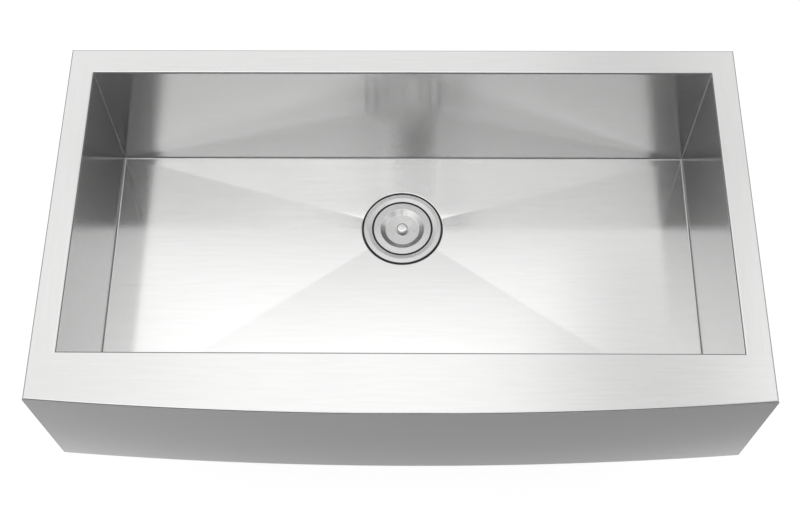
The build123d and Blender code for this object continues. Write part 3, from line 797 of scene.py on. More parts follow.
def build_bowl_floor():
    """Pitched floor with its soft creases, the stamped recess and the drain hole."""
    sizes = bpy.context.scene.sink_sheet
    lip_round = sizes.recess_round
    recess = across("strainer_body") + sizes.recess_gap
    middle = Vector((0.0, drain_y))
    beside_corner, spacing = 0.006, 0.022
    right_front, right_back = Vector((half_bowl, bowl_front)), Vector((half_bowl, bowl_back))
    left_front, left_back = Vector((-half_bowl, bowl_front)), Vector((-half_bowl, bowl_back))
    corners = [right_front, right_back, left_back, left_front]
    edge = []
    for start, end in zip(corners, corners[1:] + corners[:1]):
        span = (end - start).length
        count = max(8, round(span / spacing))
        inner = [k / count for k in range(1, count)]
        places = (0.0, beside_corner / span, *inner, 1 - beside_corner / span)
        edge += [start.lerp(end, place) for place in places]
    ways = [(point - middle).normalized() for point in edge]

    def on_floor(place):
        """Point of the floor over a place of the plan; under the walls the floor is level."""
        inside_x = max(-half_opening, min(half_opening, place.x))
        inside_y = max(opening_front, min(opening_back, place.y))
        return Vector((*place, floor_height(inside_x, inside_y)))

    rows = []
    # rows from the walls to the recess, closer together at both, as shares of the way out
    shares = (1, 0.985, 0.93, 0.84, 0.74, 0.64, 0.54, 0.44, 0.34, 0.25, 0.17, 0.1, 0.05, 0.02, 0)
    beside_lip = [middle + way * (recess + 2 * lip_round) for way in ways]
    for way_out in shares:
        rows.append([on_floor(lip.lerp(point, way_out)) for lip, point in zip(beside_lip, edge)])
    lip_tops = [on_floor(middle + way * (recess + lip_round)).z for way in ways]
    for angle in quarter(6):
        out, fall = lip_round * (1 - math.sin(angle)), lip_round * (1 - math.cos(angle))
        lip = [middle + way * (recess + out) for way in ways]
        rows.append([(*place, top - fall) for place, top in zip(lip, lip_tops)])
    bevel = 0.0003
    rings = ((recess, bevel), (recess - bevel, 0.0), (sizes.drain_hole, 0.0))
    for radius, up in rings:
        rows.append([(*(middle + way * radius), recess_level + up) for way in ways])
    bm = bmesh.new()
    net(bm, rows, closed=True)
    # The floor takes the lighter copy of the steel: painted light.
    sheet_piece("bowl_bottom", "bowl_floor", bm, (0, 0, 1), "floor_steel", "undercoat")


def weld_outline(radius):
    """Hollow weld in a corner: (inwards, up), a little sunk into both sheets."""
    sunk = -0.0003
    arc = [
        (radius * (1 - math.cos(angle)), radius * (1 - math.sin(angle))) for angle in quarter(8)
    ]
    return [(sunk, sunk), (sunk, radius), *arc, (radius, sunk)]


def build_welds():
    """Ground welds along the foot of the walls and in the four upright corners."""
    sizes = bpy.context.scene.sink_sheet
    foot, upright = weld_outline(sizes.floor_weld), weld_outline(sizes.corner_weld)

    def in_corner(side, y_edge, points):
        """Move points, given inwards of the bowl's corner in x and y, into one of its corners."""
        inwards = 1 if y_edge == opening_front else -1
        return [Vector((side * (half_opening - x), y_edge + inwards * y, z)) for x, y, z in points]

    foot_row = [(u, u, floor_level + v) for u, v in foot]
    all_round = ((-1, opening_front), (1, opening_front), (1, opening_back), (-1, opening_back))
    rows = [in_corner(side, y_edge, foot_row) for side, y_edge in all_round]
    bm = bmesh.new()
    net(bm, [*rows, rows[0]], closed=True)
    belong(loose_piece("floor_weld", bm, "weld_steel"), "sink", "brushed_sheet")

    levels = (floor_level + sizes.floor_weld / 2, -fold_drop)
    for end, y_edge in (("back", opening_back), ("front", opening_front)):
        for side, sx in (("left", -1), ("right", 1)):
            rows = [in_corner(sx, y_edge, [(u, v, z) for u, v in upright]) for z in levels]
            bm = bmesh.new()
            net(bm, rows, closed=True)
            close_ends(bm)
            # The upright corner welds take a darker copy of the steel: painted shade.
            weld = loose_piece("corner_weld_" + end + "_" + side, bm, "corner_steel")
            belong(weld, "sink", "brushed_sheet")


class SINK_OT_bowl(bpy.types.Operator):
    """Build the bowl's walls, its pitched floor and the welds between them"""

    bl_idname = "sink.bowl"
    bl_label = "Bowl"

    def execute(self, context):
        build_walls()
        build_bowl_floor()
        build_welds()
        return {"FINISHED"}


# ---------------------------------------------------------------------------
# Rims and deck
# ---------------------------------------------------------------------------
def rim_outline(width):
    """Outside of a rim's section, from the bowl's wall out to the hem: (outwards, up)."""
    corners = [(0, -fold_drop, 0), (0, 0, bend), (width, 0, bend), (width, -hem_drop, 0)]
    return rounded(corners, closed=False)


def build_rims():
    """Back rim and side rims, mitred at the back corners."""
    side_width = half_length - half_opening
    back_width = rim_back_edge - opening_back
    slant = side_width / back_width
    bm = bmesh.new()
    net(bm, [
        [(sx * (half_opening + u * slant), opening_back + u, v) for u, v in rim_outline(back_width)]
        for sx in (-1, 1)
    ])
    sheet_piece("back_rim", "rim_back", bm, (0, 0, 1), "flat_steel_x")

    outline = rim_outline(side_width)
    front_end = [opening_front - min(u, bend) for u, v in outline]
    back_end = [opening_back + u / slant for u, v in outline]
    for name, sx in (("left", -1), ("right", 1)):
        bm = bmesh.new()
        net(bm, [
            [(sx * (half_opening + u), y, v) for (u, v), y in zip(outline, end)]
            for end in (front_end, back_end)
        ])
        sheet_piece(name + "_rim", "rim_" + name, bm, (0, 0, 1), "flat_steel_y")


def build_deck():
    """Front deck: bent down into the bowl, along its bowed front and at its two ends."""
    bends = arc_steps(bend, 6)
    count = 28
    columns = [half_length - d for d in bends]
    columns += [half_opening + d for d in reversed(bends)]
    columns += [half_opening * k / count for k in range(count - 1, 0, -1)]
    rows = []
    for x in (*[-x for x in columns], 0.0, *reversed(columns)):
        mitre = max(0.0, min(abs(x) - half_opening, bend))
        end_drop = arc_drop(bend, half_length - abs(x))
        front = bow(x)

        def top(y, inset):
            """Point of the deck at a distance from its bowl side or from its front."""
            return Vector((x, y, -max(arc_drop(bend, inset), end_drop)))

        bowl_foot = top(opening_front - mitre, mitre) if mitre else (x, opening_front, -fold_drop)
        rows.append([
            Vector(bowl_foot),
            *[top(opening_front - max(d, mitre), max(d, mitre)) for d in bends],
            *[top(front + d, d) for d in reversed(bends)],
            Vector((x, front, -fold_drop)),
        ])
    left_leg, right_leg = ([(p.x, p.y, -fold_drop) for p in rows[end]] for end in (0, -1))
    bm = bmesh.new()
    net(bm, [left_leg, *rows, right_leg])
    sheet_piece("deck", "front_deck", bm, (0, 0, 1), "flat_steel_x")


class SINK_OT_rims(bpy.types.Operator):
    """Build the three rims and the front deck"""

    bl_idname = "sink.rims"
    bl_label = "Rims and deck"

    def execute(self, context):
        build_rims()
        build_deck()
        return {"FINISHED"}


# ---------------------------------------------------------------------------
# Apron
# ---------------------------------------------------------------------------
def build_apron_face():
    """Bowed sheet with its foot bent under."""
    outline = rounded(
        [(0, -fold_drop, 0), (0, apron_foot, bend), (fold_drop, apron_foot, 0)], closed=False
    )
    bm = bmesh.new()
    net(bm, [bowed_row(apron_half_width(z), setback, z, 72) for setback, z in outline])
    sheet_piece("apron", "apron_face", bm, (0, -1, 0), "apron_steel", "plain_steel")


def build_cheeks():
    """Slanted ends of the apron, each with a return along its back edge."""
    sizes = bpy.context.scene.sink_sheet
    round_back = sizes.cheek_bend
    low, high = apron_half_width(apron_foot), apron_half_width(-fold_drop)
    foot = rounded(
        [
            (sheet, -fold_drop, 0),
            (sheet, apron_foot + sheet, bend - sheet),
            (fold_drop, apron_foot + sheet, 0),
        ],
        closed=False,
    )
    border = [(apron_half_width(z), bow(apron_half_width(z), setback), z) for setback, z in foot]
    border += [
        (low, bow(low, fold_drop), apron_foot),
        (low, rim_seam - round_back, apron_foot),
        (high, rim_seam - round_back, -fold_drop),
    ]
    # section of the return: (inwards of the cheek's outside, y)
    section = [
        (round_back * (1 - math.cos(angle)), rim_seam - round_back * (1 - math.sin(angle)))
        for angle in quarter(6)
    ]
    section.append((sizes.cheek_return, rim_seam))
    for name, sx in (("left", -1), ("right", 1)):
        bm = bmesh.new()
        bm.faces.new([bm.verts.new((sx * x, y, z)) for x, y, z in border])
        net(bm, [
            [(sx * (low - inwards), y, apron_foot), (sx * (high - inwards), y, -fold_drop)]
            for inwards, y in section
        ])
        # The cheeks take the side walls' darker copy of the steel: painted shade.
        looks = ("wall_steel_y", "plain_steel")
        sheet_piece("cheek_" + name, "apron_cheek_" + name, bm, (sx, 0, 0), *looks)


def build_lip():
    """Lip that runs on from the apron's bent foot."""
    lip_width = bpy.context.scene.sink_sheet.lip_width
    width = apron_half_width(apron_foot) - sheet
    bm = bmesh.new()
    net(bm, [bowed_row(width, setback, apron_foot, 48) for setback in (fold_drop, lip_width)])
    sheet_piece("foot_lip", "apron_lip", bm, (0, 0, -1), "plain_steel")


def build_stays():
    """Folded stays between the bowl and the apron."""
    sizes = bpy.context.scene.sink_sheet
    low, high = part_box("apron_stay_left")
    web, tip = sizes.stay_position, sizes.stay_position + sizes.stay_flange
    plan = rounded(
        [
            (tip, bowl_front, 0),
            (web, bowl_front, bend),
            (web, bow(web, sheet), bend),
            (tip, bow(tip, sheet), 0),
        ],
        closed=False,
    )
    for name, sx in (("left", -1), ("right", 1)):
        bm = bmesh.new()
        net(bm, [[(sx * x, y, z) for x, y in plan] for z in (low.z, high.z)])
        node = "apron_stay_" + name
        sheet_piece("stay_" + name, node, bm, (-sx, 0, 0), "plain_steel", slot="plain_sheet")


class SINK_OT_apron(bpy.types.Operator):
    """Build the bowed apron, its cheeks, lip and stays"""

    bl_idname = "sink.apron"
    bl_label = "Apron"

    def execute(self, context):
        build_apron_face()
        build_cheeks()
        build_lip()
        build_stays()
        return {"FINISHED"}


# ---------------------------------------------------------------------------
# Sound pads
# ---------------------------------------------------------------------------
def slab(name, node, width, height, thickness, surface):
    """Pad with rounded edges; surface(u, v, w) gives the place of a point of the pad."""
    edge, spacing = 0.0012, 0.02
    steps = arc_steps(edge, 4)

    def spread(size):
        """Places along one side of the pad, closer together at its rounded edges."""
        count = max(4, round(size / spacing))
        inner = [edge + (size - 2 * edge) * k / count for k in range(1, count)]
        return [*steps, *inner, *[size - d for d in reversed(steps)]]

    def top(u, v):
        """Point of the pad's face, which falls off towards its edges."""
        return surface(u, v, thickness - arc_drop(edge, min(u, v, width - u, height - v)))

    across_u, across_v = spread(width), spread(height)
    first, last = ([surface(u, v, 0) for u in across_u] for v in (0, height))
    bm = bmesh.new()
    net(bm, [first, *[[top(u, v) for u in across_u] for v in across_v], last])
    for u in (0, width):
        net(bm, [[surface(u, v, w) for v in across_v] for w in (0, thickness - edge)])
    net(bm, [[surface(u, v, 0) for u in across_u] for v in across_v])
    belong(loose_piece(name, bm, "pad_rubber"), "sink", "damping_rubber", node)


def build_pads():
    """Pads on the four walls and under the pitched floor."""
    for name in ("back", "front", "left", "right"):
        node = name + "_pad"
        low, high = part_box(node)
        size = high - low
        outward = 1 if name in ("back", "right") else -1
        base = low if outward > 0 else high

        def along_x(u, v, w):
            return Vector((low.x + u, base.y + outward * w, low.z + v))

        def along_y(u, v, w):
            return Vector((base.x + outward * w, low.y + u, low.z + v))

        if size.x > size.y:
            slab(name + "_wall_pad", node, size.x, size.z, size.y, along_x)
        else:
            slab(name + "_wall_pad", node, size.y, size.z, size.x, along_y)
    back_low, back_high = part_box("back_pad")
    thickness = back_high.y - back_low.y
    for name in ("left", "right", "front"):
        node = "floor_pad_" + name
        low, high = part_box(node)

        def underneath(u, v, w):
            x, y = low.x + u, low.y + v
            return Vector((x, y, floor_height(x, y) - sheet - w))

        size = high - low
        slab("floor_underside_pad_" + name, node, size.x, size.y, thickness, underneath)


class SINK_OT_pads(bpy.types.Operator):
    """Build the sound pads on the outside of the bowl"""

    bl_idname = "sink.pads"
    bl_label = "Sound pads"

    def execute(self, context):
        build_pads()
        return {"FINISHED"}


# ---------------------------------------------------------------------------
# Strainer, fixed in the drain hole
# ---------------------------------------------------------------------------
def thread_piece(name, look, slot, crest, bottom, turns):
    """Ridge of a screw thread, which rises and fades over an eighth of a turn at its two ends."""
    sizes = bpy.context.scene.sink_strainer
    pitch, depth = sizes.thread_pitch, sizes.thread_depth
    steps, fade = 48, 6
    sunk = 0.0001
    blunt_drop, blunt_half = 0.0001, 0.0002
    last = (turns - 1) * steps
    rows = []
    for k in range(last + 1):
        height = bottom + pitch / 2 + pitch * k / steps
        risen = min(1.0, k / fade, (last - k) / fade)
        tip = crest - depth * (1 - risen)
        root = crest - depth - sunk
        section = (
            (root, -pitch / 2),
            (tip - blunt_drop, -blunt_half),
            (tip, 0),
            (tip - blunt_drop, blunt_half),
            (root, pitch / 2),
        )
        rows.append([round_drain(r, math.tau * k / steps, height + up) for r, up in section])
    bm = bmesh.new()
    net(bm, rows)
    belong(loose_piece(name, bm, look), "sink", slot)


def ring_piece(name, node, bore, edge, slot, look, body="sink"):
    """Plain ring with rounded edges in the place of a CAD node."""
    low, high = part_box(node)
    outline = rounded_box(bore, across(node), low.z, high.z, edge)
    belong(turned_piece(name, outline, look), body, slot, node)


def build_strainer_body():
    """Flange, neck and cup, with the thread round the neck and the cross over the outlet."""
    sizes = bpy.context.scene.sink_strainer
    low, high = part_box("strainer_body")
    flange, wall = across("strainer_body"), sizes.wall
    flange_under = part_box("flange_gasket")[1].z
    mouth = high.z - sizes.flange_dish
    seat = mouth - sizes.seat_depth
    ledge = seat - sizes.neck_depth
    bottom = low.z + wall
    thread_proud = 0.0002
    crest = sizes.neck_radius + wall + thread_proud
    core = crest - sizes.thread_depth
    outlet_flare = 0.0036
    outline = rounded([
        (flange, flange_under, 0.0003),
        (flange, high.z, 0.0010),
        (flange - sizes.flange_land, high.z, 0.0120),
        (sizes.seat_radius, mouth, 0.0004),
        (sizes.seat_radius, seat, 0.0004),
        (sizes.neck_radius, seat, 0.0005),
        (sizes.neck_radius, ledge, 0.0004),
        (sizes.cup_radius, ledge, 0.0005),
        (sizes.cup_radius, bottom + sizes.cup_slope, sizes.cup_slope),
        (sizes.outlet_radius, bottom, 0.0006),
        (sizes.outlet_radius, low.z, 0),
        (sizes.outlet_radius + outlet_flare, low.z, 0),
        (sizes.cup_radius + wall, low.z + sizes.cup_slope, sizes.cup_slope + wall),
        (sizes.cup_radius + wall, ledge - wall, 0.0002),
        (core, ledge - wall, 0.0002),
        (core, seat - wall, 0),
        (sizes.seat_radius + wall, seat - wall, 0.0003),
        (sizes.seat_radius + wall, flange_under, 0.0004),
    ])
    strainer = turned_piece("strainer", outline, "turned_steel")
    belong(strainer, "sink", "turned_steel", "strainer_body")
    thread_foot = ledge - wall - sizes.cup_turns * sizes.thread_pitch
    thread_piece("neck_thread", "turned_steel", "turned_steel", crest, thread_foot, sizes.cup_turns)

    half = sizes.crossbar_width / 2
    reach = sizes.outlet_radius + wall / 2
    bar = rounded_box(-half, half, low.z, bottom, 0.0003)
    bm = bmesh.new()
    for turn in (0, 90):
        swing = Matrix.Rotation(math.radians(turn), 3, "Z")
        ends = [[drain + swing @ Vector((x, y, z)) for y, z in bar] for x in (-reach, reach)]
        net(bm, ends, closed=True)
    belong(loose_piece("outlet_cross", bm, "turned_steel"), "sink", "turned_steel")


def build_outlet():
    """Threaded outlet, its thread and its washer."""
    sizes = bpy.context.scene.sink_strainer
    low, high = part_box("outlet_spud")
    crest = across("outlet_spud")
    core = crest - sizes.thread_depth
    outline = rounded([
        (sizes.outlet_radius, low.z, 0.0004),
        (core, low.z, 0.0004),
        (core, high.z, 0.0002),
        (sizes.outlet_radius, high.z, 0.0002),
    ])
    belong(turned_piece("outlet", outline, "plated"), "sink", "cast_nut", "outlet_spud")
    thread_piece("outlet_thread", "plated", "cast_nut", crest, low.z, sizes.outlet_turns)
    bore = sizes.outlet_radius
    ring_piece("washer", "tailpiece_washer", bore, 0.0005, "white_washer", "white_washer")


def build_tailpiece():
    """Tailpiece with the flange that it hangs by."""
    sizes = bpy.context.scene.sink_strainer
    low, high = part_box("tailpiece")
    bore, tube, flange = sizes.tube_radius - sizes.wall, sizes.tube_radius, across("tailpiece")
    outline = rounded([
        (bore, low.z, 0.0005),
        (tube, low.z, 0.0005),
        (tube, high.z - sizes.wall, 0.0008),
        (flange, high.z - sizes.wall, 0.0004),
        (flange, high.z, 0.0004),
        (bore, high.z, 0.0008),
    ])
    belong(turned_piece("tail_tube", outline, "tube"), "sink", "tube_steel", "tailpiece")


def build_coupling_nut():
    """Coupling nut with its grip flutes."""
    sizes = bpy.context.scene.sink_strainer
    low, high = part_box("coupling_nut")
    outside, flute = sizes.coupling_radius, sizes.flute_radius
    flute_centre = outside + sizes.flute_setout
    pitch = math.tau / sizes.flutes

    def fluted(r, z, angle):
        """Radius of the nut's outside, where the grip flutes are cut into it."""
        off = (angle + pitch / 2) % pitch - pitch / 2
        beside = flute_centre * math.sin(off)
        if r < outside - flute or abs(beside) > flute:
            return r
        return min(r, flute_centre * math.cos(off) - math.sqrt(flute**2 - beside**2))

    tube_gap, thread_gap = 0.001, 0.00005
    hole, shoulder = sizes.tube_radius + tube_gap, low.z + sizes.nut_shoulder
    bore = across("outlet_spud") + thread_gap
    outline = rounded([
        (hole, low.z, 0.0006),
        (outside, low.z, 0.0010),
        (outside, high.z, 0.0010),
        (bore, high.z, 0.0006),
        (bore, shoulder, 0),
        (hole, shoulder, 0.0004),
    ])
    steps_each = 24
    nut = turned_piece("tube_nut", outline, "plated", steps_each * sizes.flutes, fluted)
    belong(nut, "sink", "cast_nut", "coupling_nut")


def build_locknut():
    """Locknut: broad face, hub and the lugs round it."""
    sizes = bpy.context.scene.sink_strainer
    low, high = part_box("locknut")
    thread_gap = 0.00025
    bore = sizes.neck_radius + sizes.wall + thread_gap
    hub, face = sizes.hub_radius, across("locknut")
    face_foot = high.z - sizes.nut_face
    outline = rounded([
        (bore, low.z, 0.0006),
        (hub, low.z, 0.0010),
        (hub, face_foot, 0.0012),
        (face, face_foot, 0.0008),
        (face, high.z, 0.0008),
        (bore, high.z, 0.0004),
    ])
    belong(turned_piece("big_nut", outline, "plated"), "sink", "cast_nut", "locknut")

    half, sunk, soft = sizes.lug_width / 2, 0.001, 0.0012
    inner, outer = hub - sunk, hub + sizes.lug_reach
    plan = rounded([(inner, -half, 0), (outer, -half, soft), (outer, half, soft), (inner, half, 0)])
    middle = Vector(((inner + outer) / 2, 0))
    edge, step = 0.0008, 0.0002
    # how far the lug's outline is drawn in at each level, from its rounded foot upwards
    levels = ((edge, low.z), (step, low.z + step), (0, low.z + edge), (0, face_foot))
    rows = []
    for inset, z in levels:
        scaled = [middle + (point - middle) * (1 - inset / half) for point in plan]
        rows.append([drain + Vector((*point, z)) for point in scaled])
    bm = bmesh.new()
    net(bm, rows, closed=True)
    close_ends(bm)
    clean(bm)
    lug = made("nut_lugs", bm, [material("plated")])
    lugs = run_tree(lug, spun_copies(material("plated")), {"Copies": sizes.lugs, "Centre": drain})
    belong(lugs, "sink", "cast_nut")


class SINK_OT_strainer(bpy.types.Operator):
    """Build the fixed strainer with its gaskets, locknut, outlet and tailpiece"""

    bl_idname = "sink.strainer"
    bl_label = "Strainer"

    def execute(self, context):
        sizes = context.scene.sink_strainer
        hole = context.scene.sink_sheet.drain_hole
        gasket_gap = 0.0006
        bore = sizes.neck_radius + sizes.wall + gasket_gap
        rubber = ("black_rubber", "black_rubber")
        build_strainer_body()
        ring_piece("mounting_gasket", "flange_gasket", hole, 0.0005, *rubber)
        ring_piece("lower_gasket", "under_gasket", bore, 0.0006, *rubber)
        ring_piece("slip_ring", "friction_ring", bore, 0.0002, "fibre_ring", "fibre")
        build_locknut()
        build_outlet()
        build_tailpiece()
        build_coupling_nut()
        return {"FINISHED"}


# ---------------------------------------------------------------------------
# Basket
# ---------------------------------------------------------------------------
def perforate(metal):
    """Tree that cuts rows of round holes in the basket's wall and rings of them in its floor."""
    sizes = bpy.context.scene.sink_strainer
    low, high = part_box("basket_cup")
    recipe, given = geometry_tree("perforate", {
        "Hole Radius": "NodeSocketFloat",
        "Columns": "NodeSocketInt",
        "Row Spacing": "NodeSocketFloat",
        "Ring Spacing": "NodeSocketFloat",
    })
    punch_sides, punch_depth = 24, 0.004
    punch = recipe.wire("GeometryNodeMeshCylinder", {}, {
        "Vertices": punch_sides, "Radius": given["Hole Radius"], "Depth": punch_depth,
    })
    index = recipe.wire("GeometryNodeInputIndex")

    def punches(count, angle, radius, level, **turned):
        """Add a ring of cutters; turned may hold their rotation."""
        place = recipe.wire("ShaderNodeCombineXYZ", {}, {
            "X": angle.maths("COSINE", angle) * radius,
            "Y": angle.maths("SINE", angle) * radius + drain_y,
            "Z": level,
        })
        points = recipe.wire("GeometryNodePoints", {}, {"Count": count, "Position": place})
        return recipe.wire(
            "GeometryNodeInstanceOnPoints", {}, {"Points": points, "Instance": punch, **turned}
        )

    cutters = []
    wall_radius = sizes.basket_radius - sizes.basket_sheet / 2
    for row in range(sizes.hole_rows):
        angle = (index + (row % 2) / 2) / given["Columns"] * math.tau
        level = (high.z - sizes.row_drop) - given["Row Spacing"] * row
        turn = recipe.wire("ShaderNodeCombineXYZ", {}, {"Y": math.pi / 2, "Z": angle})
        cutters.append(punches(given["Columns"], angle, wall_radius, level, Rotation=turn))
    for ring in range(sizes.rings + 1):
        count = max(1, 6 * ring)
        angle = index * (math.tau / count)
        level = low.z + sizes.basket_sheet / 2
        cutters.append(punches(count, angle, given["Ring Spacing"] * ring, level))
    join = recipe.node("GeometryNodeJoinGeometry")
    for cutter in cutters:
        recipe.tree.links.new(cutter.socket, join.inputs[0])
    joined = Wire(recipe, join.outputs[0])
    real = recipe.wire("GeometryNodeRealizeInstances", {}, {"Geometry": joined})
    cut = recipe.wire(
        "GeometryNodeMeshBoolean",
        {"operation": "DIFFERENCE"},
        {"Mesh 1": given["Geometry"], "Mesh 2": real},
    )
    end_tree(recipe, cut, metal)
    return recipe


def build_basket_cup():
    """Perforated basket."""
    sizes = bpy.context.scene.sink_strainer
    low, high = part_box("basket_cup")
    outside, thin, corner = sizes.basket_radius, sizes.basket_sheet, sizes.basket_corner
    rim = across("basket_cup")
    outline = rounded([
        (0, low.z, 0),
        (outside, low.z, corner),
        (outside, high.z - thin, 0.0006),
        (rim, high.z - thin, 0.0003),
        (rim, high.z, 0.0003),
        (outside - thin, high.z, 0.0012),
        (outside - thin, low.z + thin, corner - thin),
        (0, low.z + thin, 0),
    ])
    cup = turned_piece("basket", outline, "basket_steel", steps=168)
    cup = run_tree(cup, perforate(material("basket_steel")), {
        "Hole Radius": sizes.hole_radius,
        "Columns": sizes.hole_columns,
        "Row Spacing": sizes.row_spacing,
        "Ring Spacing": sizes.ring_spacing,
    })
    belong(cup, "basket", "basket_steel", "basket_cup")


def build_strap():
    """Arched strap that the basket is lifted by."""
    sizes = bpy.context.scene.sink_strainer
    low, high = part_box("basket_handle")
    half, rise = (high.y - low.y) / 2, sizes.strap_rise
    reach = sizes.basket_radius - sizes.basket_sheet
    radius = (sizes.basket_radius**2 + rise**2) / (2 * rise)
    section = rounded_box(-half, half, -sizes.strap_thickness, 0, 0.0004)
    steps = 40
    rows = []
    for k in range(steps + 1):
        x = -reach + 2 * reach * k / steps
        top = high.z - radius + math.sqrt(radius**2 - x**2)
        rows.append([Vector((x, drain_y + y, top + z)) for y, z in section])
    bm = bmesh.new()
    net(bm, rows, closed=True)
    close_ends(bm)
    strap = loose_piece("basket_strap", bm, "basket_steel")
    belong(strap, "basket", "basket_steel", "basket_handle")


class SINK_OT_basket(bpy.types.Operator):
    """Build the perforated basket and its strap"""

    bl_idname = "sink.basket"
    bl_label = "Basket"

    def execute(self, context):
        build_basket_cup()
        build_strap()
        return {"FINISHED"}


# ---------------------------------------------------------------------------
# Lid
# ---------------------------------------------------------------------------
def build_lid():
    """Dished lid, its rubber seal, the knob and the screw that holds it."""
    sizes = bpy.context.scene.sink_strainer
    low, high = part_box("lid_disc")
    thin, dish = sizes.lid_sheet, high.z - sizes.dish_depth
    bottom = dish - sizes.dish_cone
    screw_gap = 0.00005
    bore, edge = sizes.screw_radius + screw_gap, across("lid_disc")
    outline = rounded([
        (bore, bottom - thin, 0),
        (sizes.dish_floor, dish - thin, 0.004),
        (sizes.dish_radius + thin, high.z - thin, 0.0012),
        (edge, high.z - thin, 0.0003),
        (edge, high.z, 0.0005),
        (sizes.dish_radius, high.z, 0.0009),
        (sizes.dish_floor, dish, 0.003),
        (bore, bottom, 0),
    ], steps=8)
    belong(turned_piece("lid", outline, "turned_steel"), "lid", "turned_steel", "lid_disc")
    rubber = ("black_rubber", "black_rubber")
    seal_bore = across("lid_seal") - sizes.seal_width
    ring_piece("lid_gasket", "lid_seal", seal_bore, 0.0003, *rubber, body="lid")
    build_knob(bore, bottom + sizes.screw_reach)
    build_screw(bottom - thin)


def build_knob(bore, screw_top):
    """Knob, hollow from below as far as the screw reaches."""
    sizes = bpy.context.scene.sink_strainer
    low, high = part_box("lid_knob")
    neck, head, head_foot = sizes.knob_neck, across("lid_knob"), high.z - sizes.knob_head
    outline = rounded([
        (bore, low.z, 0),
        (neck, low.z, 0.0004),
        (neck, head_foot, 0.0008),
        (head, head_foot, 0.0013),
        (head, high.z, 0.0026),
        (0, high.z, 0),
        (0, screw_top, 0),
        (bore, screw_top, 0),
    ], steps=10)
    knob = turned_piece("knob", outline, "polished_steel", steps=96)
    belong(knob, "lid", "polished_steel", "lid_knob")


def build_screw(head_top):
    """Screw that holds the knob, with a six-sided socket in its head."""
    sizes = bpy.context.scene.sink_strainer
    low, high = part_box("lid_screw")
    head, shank = across("lid_screw"), sizes.screw_radius
    socket_share, socket_depth = 0.62, 0.0014
    socket, socket_top = shank * socket_share, low.z + socket_depth
    side = math.tau / 6

    def six_sided(r, z, angle):
        """Radius that turns the round recess in the head into a six-sided one."""
        if r > socket or r == 0 or z > head_top:
            return r
        return r * math.cos(side / 2) / math.cos((angle + side / 2) % side - side / 2)

    outline = rounded([
        (0, socket_top, 0),
        (socket, socket_top, 0),
        (socket, low.z, 0),
        (head, low.z, 0.0009),
        (head, head_top, 0.0003),
        (shank, head_top, 0),
        (shank, high.z, 0.0004),
        (0, high.z, 0),
    ])
    screw = turned_piece("knob_screw", outline, "polished_steel", steps=72, shape=six_sided)
    belong(screw, "lid", "polished_steel", "lid_screw")


class SINK_OT_lid(bpy.types.Operator):
    """Build the lid with its seal, knob and screw"""

    bl_idname = "sink.lid"
    bl_label = "Lid"

    def execute(self, context):
        build_lid()
        return {"FINISHED"}


# ---------------------------------------------------------------------------
# Stage
# ---------------------------------------------------------------------------
def build_camera():
    """Camera at the photograph's viewing angle."""
    stage = bpy.context.scene.sink_stage
    lens = bpy.data.cameras.new("camera")
    lens.lens = stage.lens
    lens.sensor_width = 36.0
    lens.clip_start = 0.01
    lens.clip_end = 100.0
    camera = bpy.data.objects.new("camera", lens)
    camera.location = stage.camera_place
    camera.rotation_euler = stage.camera_turn
    bpy.context.scene.collection.objects.link(camera)
    bpy.context.scene.camera = camera


def seen_as_backdrop(recipe, lit, shown):
    """Mix two shaders: shown for the camera and its reflections, lit for all other rays."""
    path = recipe.node("ShaderNodeLightPath")
    names = ("Is Camera Ray", "Is Glossy Ray", "Is Transmission Ray")
    camera, glossy, through = (Wire(recipe, path.outputs[name]) for name in names)
    seen = camera.maths("MINIMUM", camera + glossy + through, 1.0)
    return recipe.wire("ShaderNodeMixShader", {}, {0: seen, 1: lit, 2: shown})


def build_floor():
    """Plain white floor, which keeps a faint shadow of the sink."""
    stage = bpy.context.scene.sink_stage
    ground, recipe = blank("floor_white")
    colour, dark = ((grey, grey, grey, 1.0) for grey in (stage.floor_colour, stage.floor_shade))
    plain = recipe.wire("ShaderNodeBsdfDiffuse", {}, {"Color": colour})
    dim = recipe.wire("ShaderNodeBsdfDiffuse", {}, {"Color": dark})
    glow = recipe.wire("ShaderNodeEmission", {}, {"Strength": stage.floor_glow})
    white = recipe.wire("ShaderNodeAddShader", {}, {0: dim, 1: glow})
    recipe.surface(seen_as_backdrop(recipe, plain, white))
    level, reach = cad_low.z - stage.floor_drop, stage.floor_size
    bm = bmesh.new()
    net(bm, [[(x, y, level) for x in (-reach, reach)] for y in (-reach, reach)])
    clean(bm, (0, 0, 1))
    made("floor", bm, [ground])


def build_world():
    """Plain light from all round in front of a white backdrop."""
    world = bpy.data.worlds.new("studio")
    bpy.context.scene.world = world
    world.use_nodes = True
    recipe = Recipe(world.node_tree)
    surround = bpy.context.scene.sink_stage.surround
    plain = recipe.wire("ShaderNodeBackground", {}, {"Strength": surround})
    white = recipe.wire("ShaderNodeBackground", {}, {"Color": (1.0, 1.0, 1.0, 1.0)})
    recipe.surface(seen_as_backdrop(recipe, plain, white), "ShaderNodeOutputWorld")
    bpy.context.scene.view_settings.view_transform = "Standard"


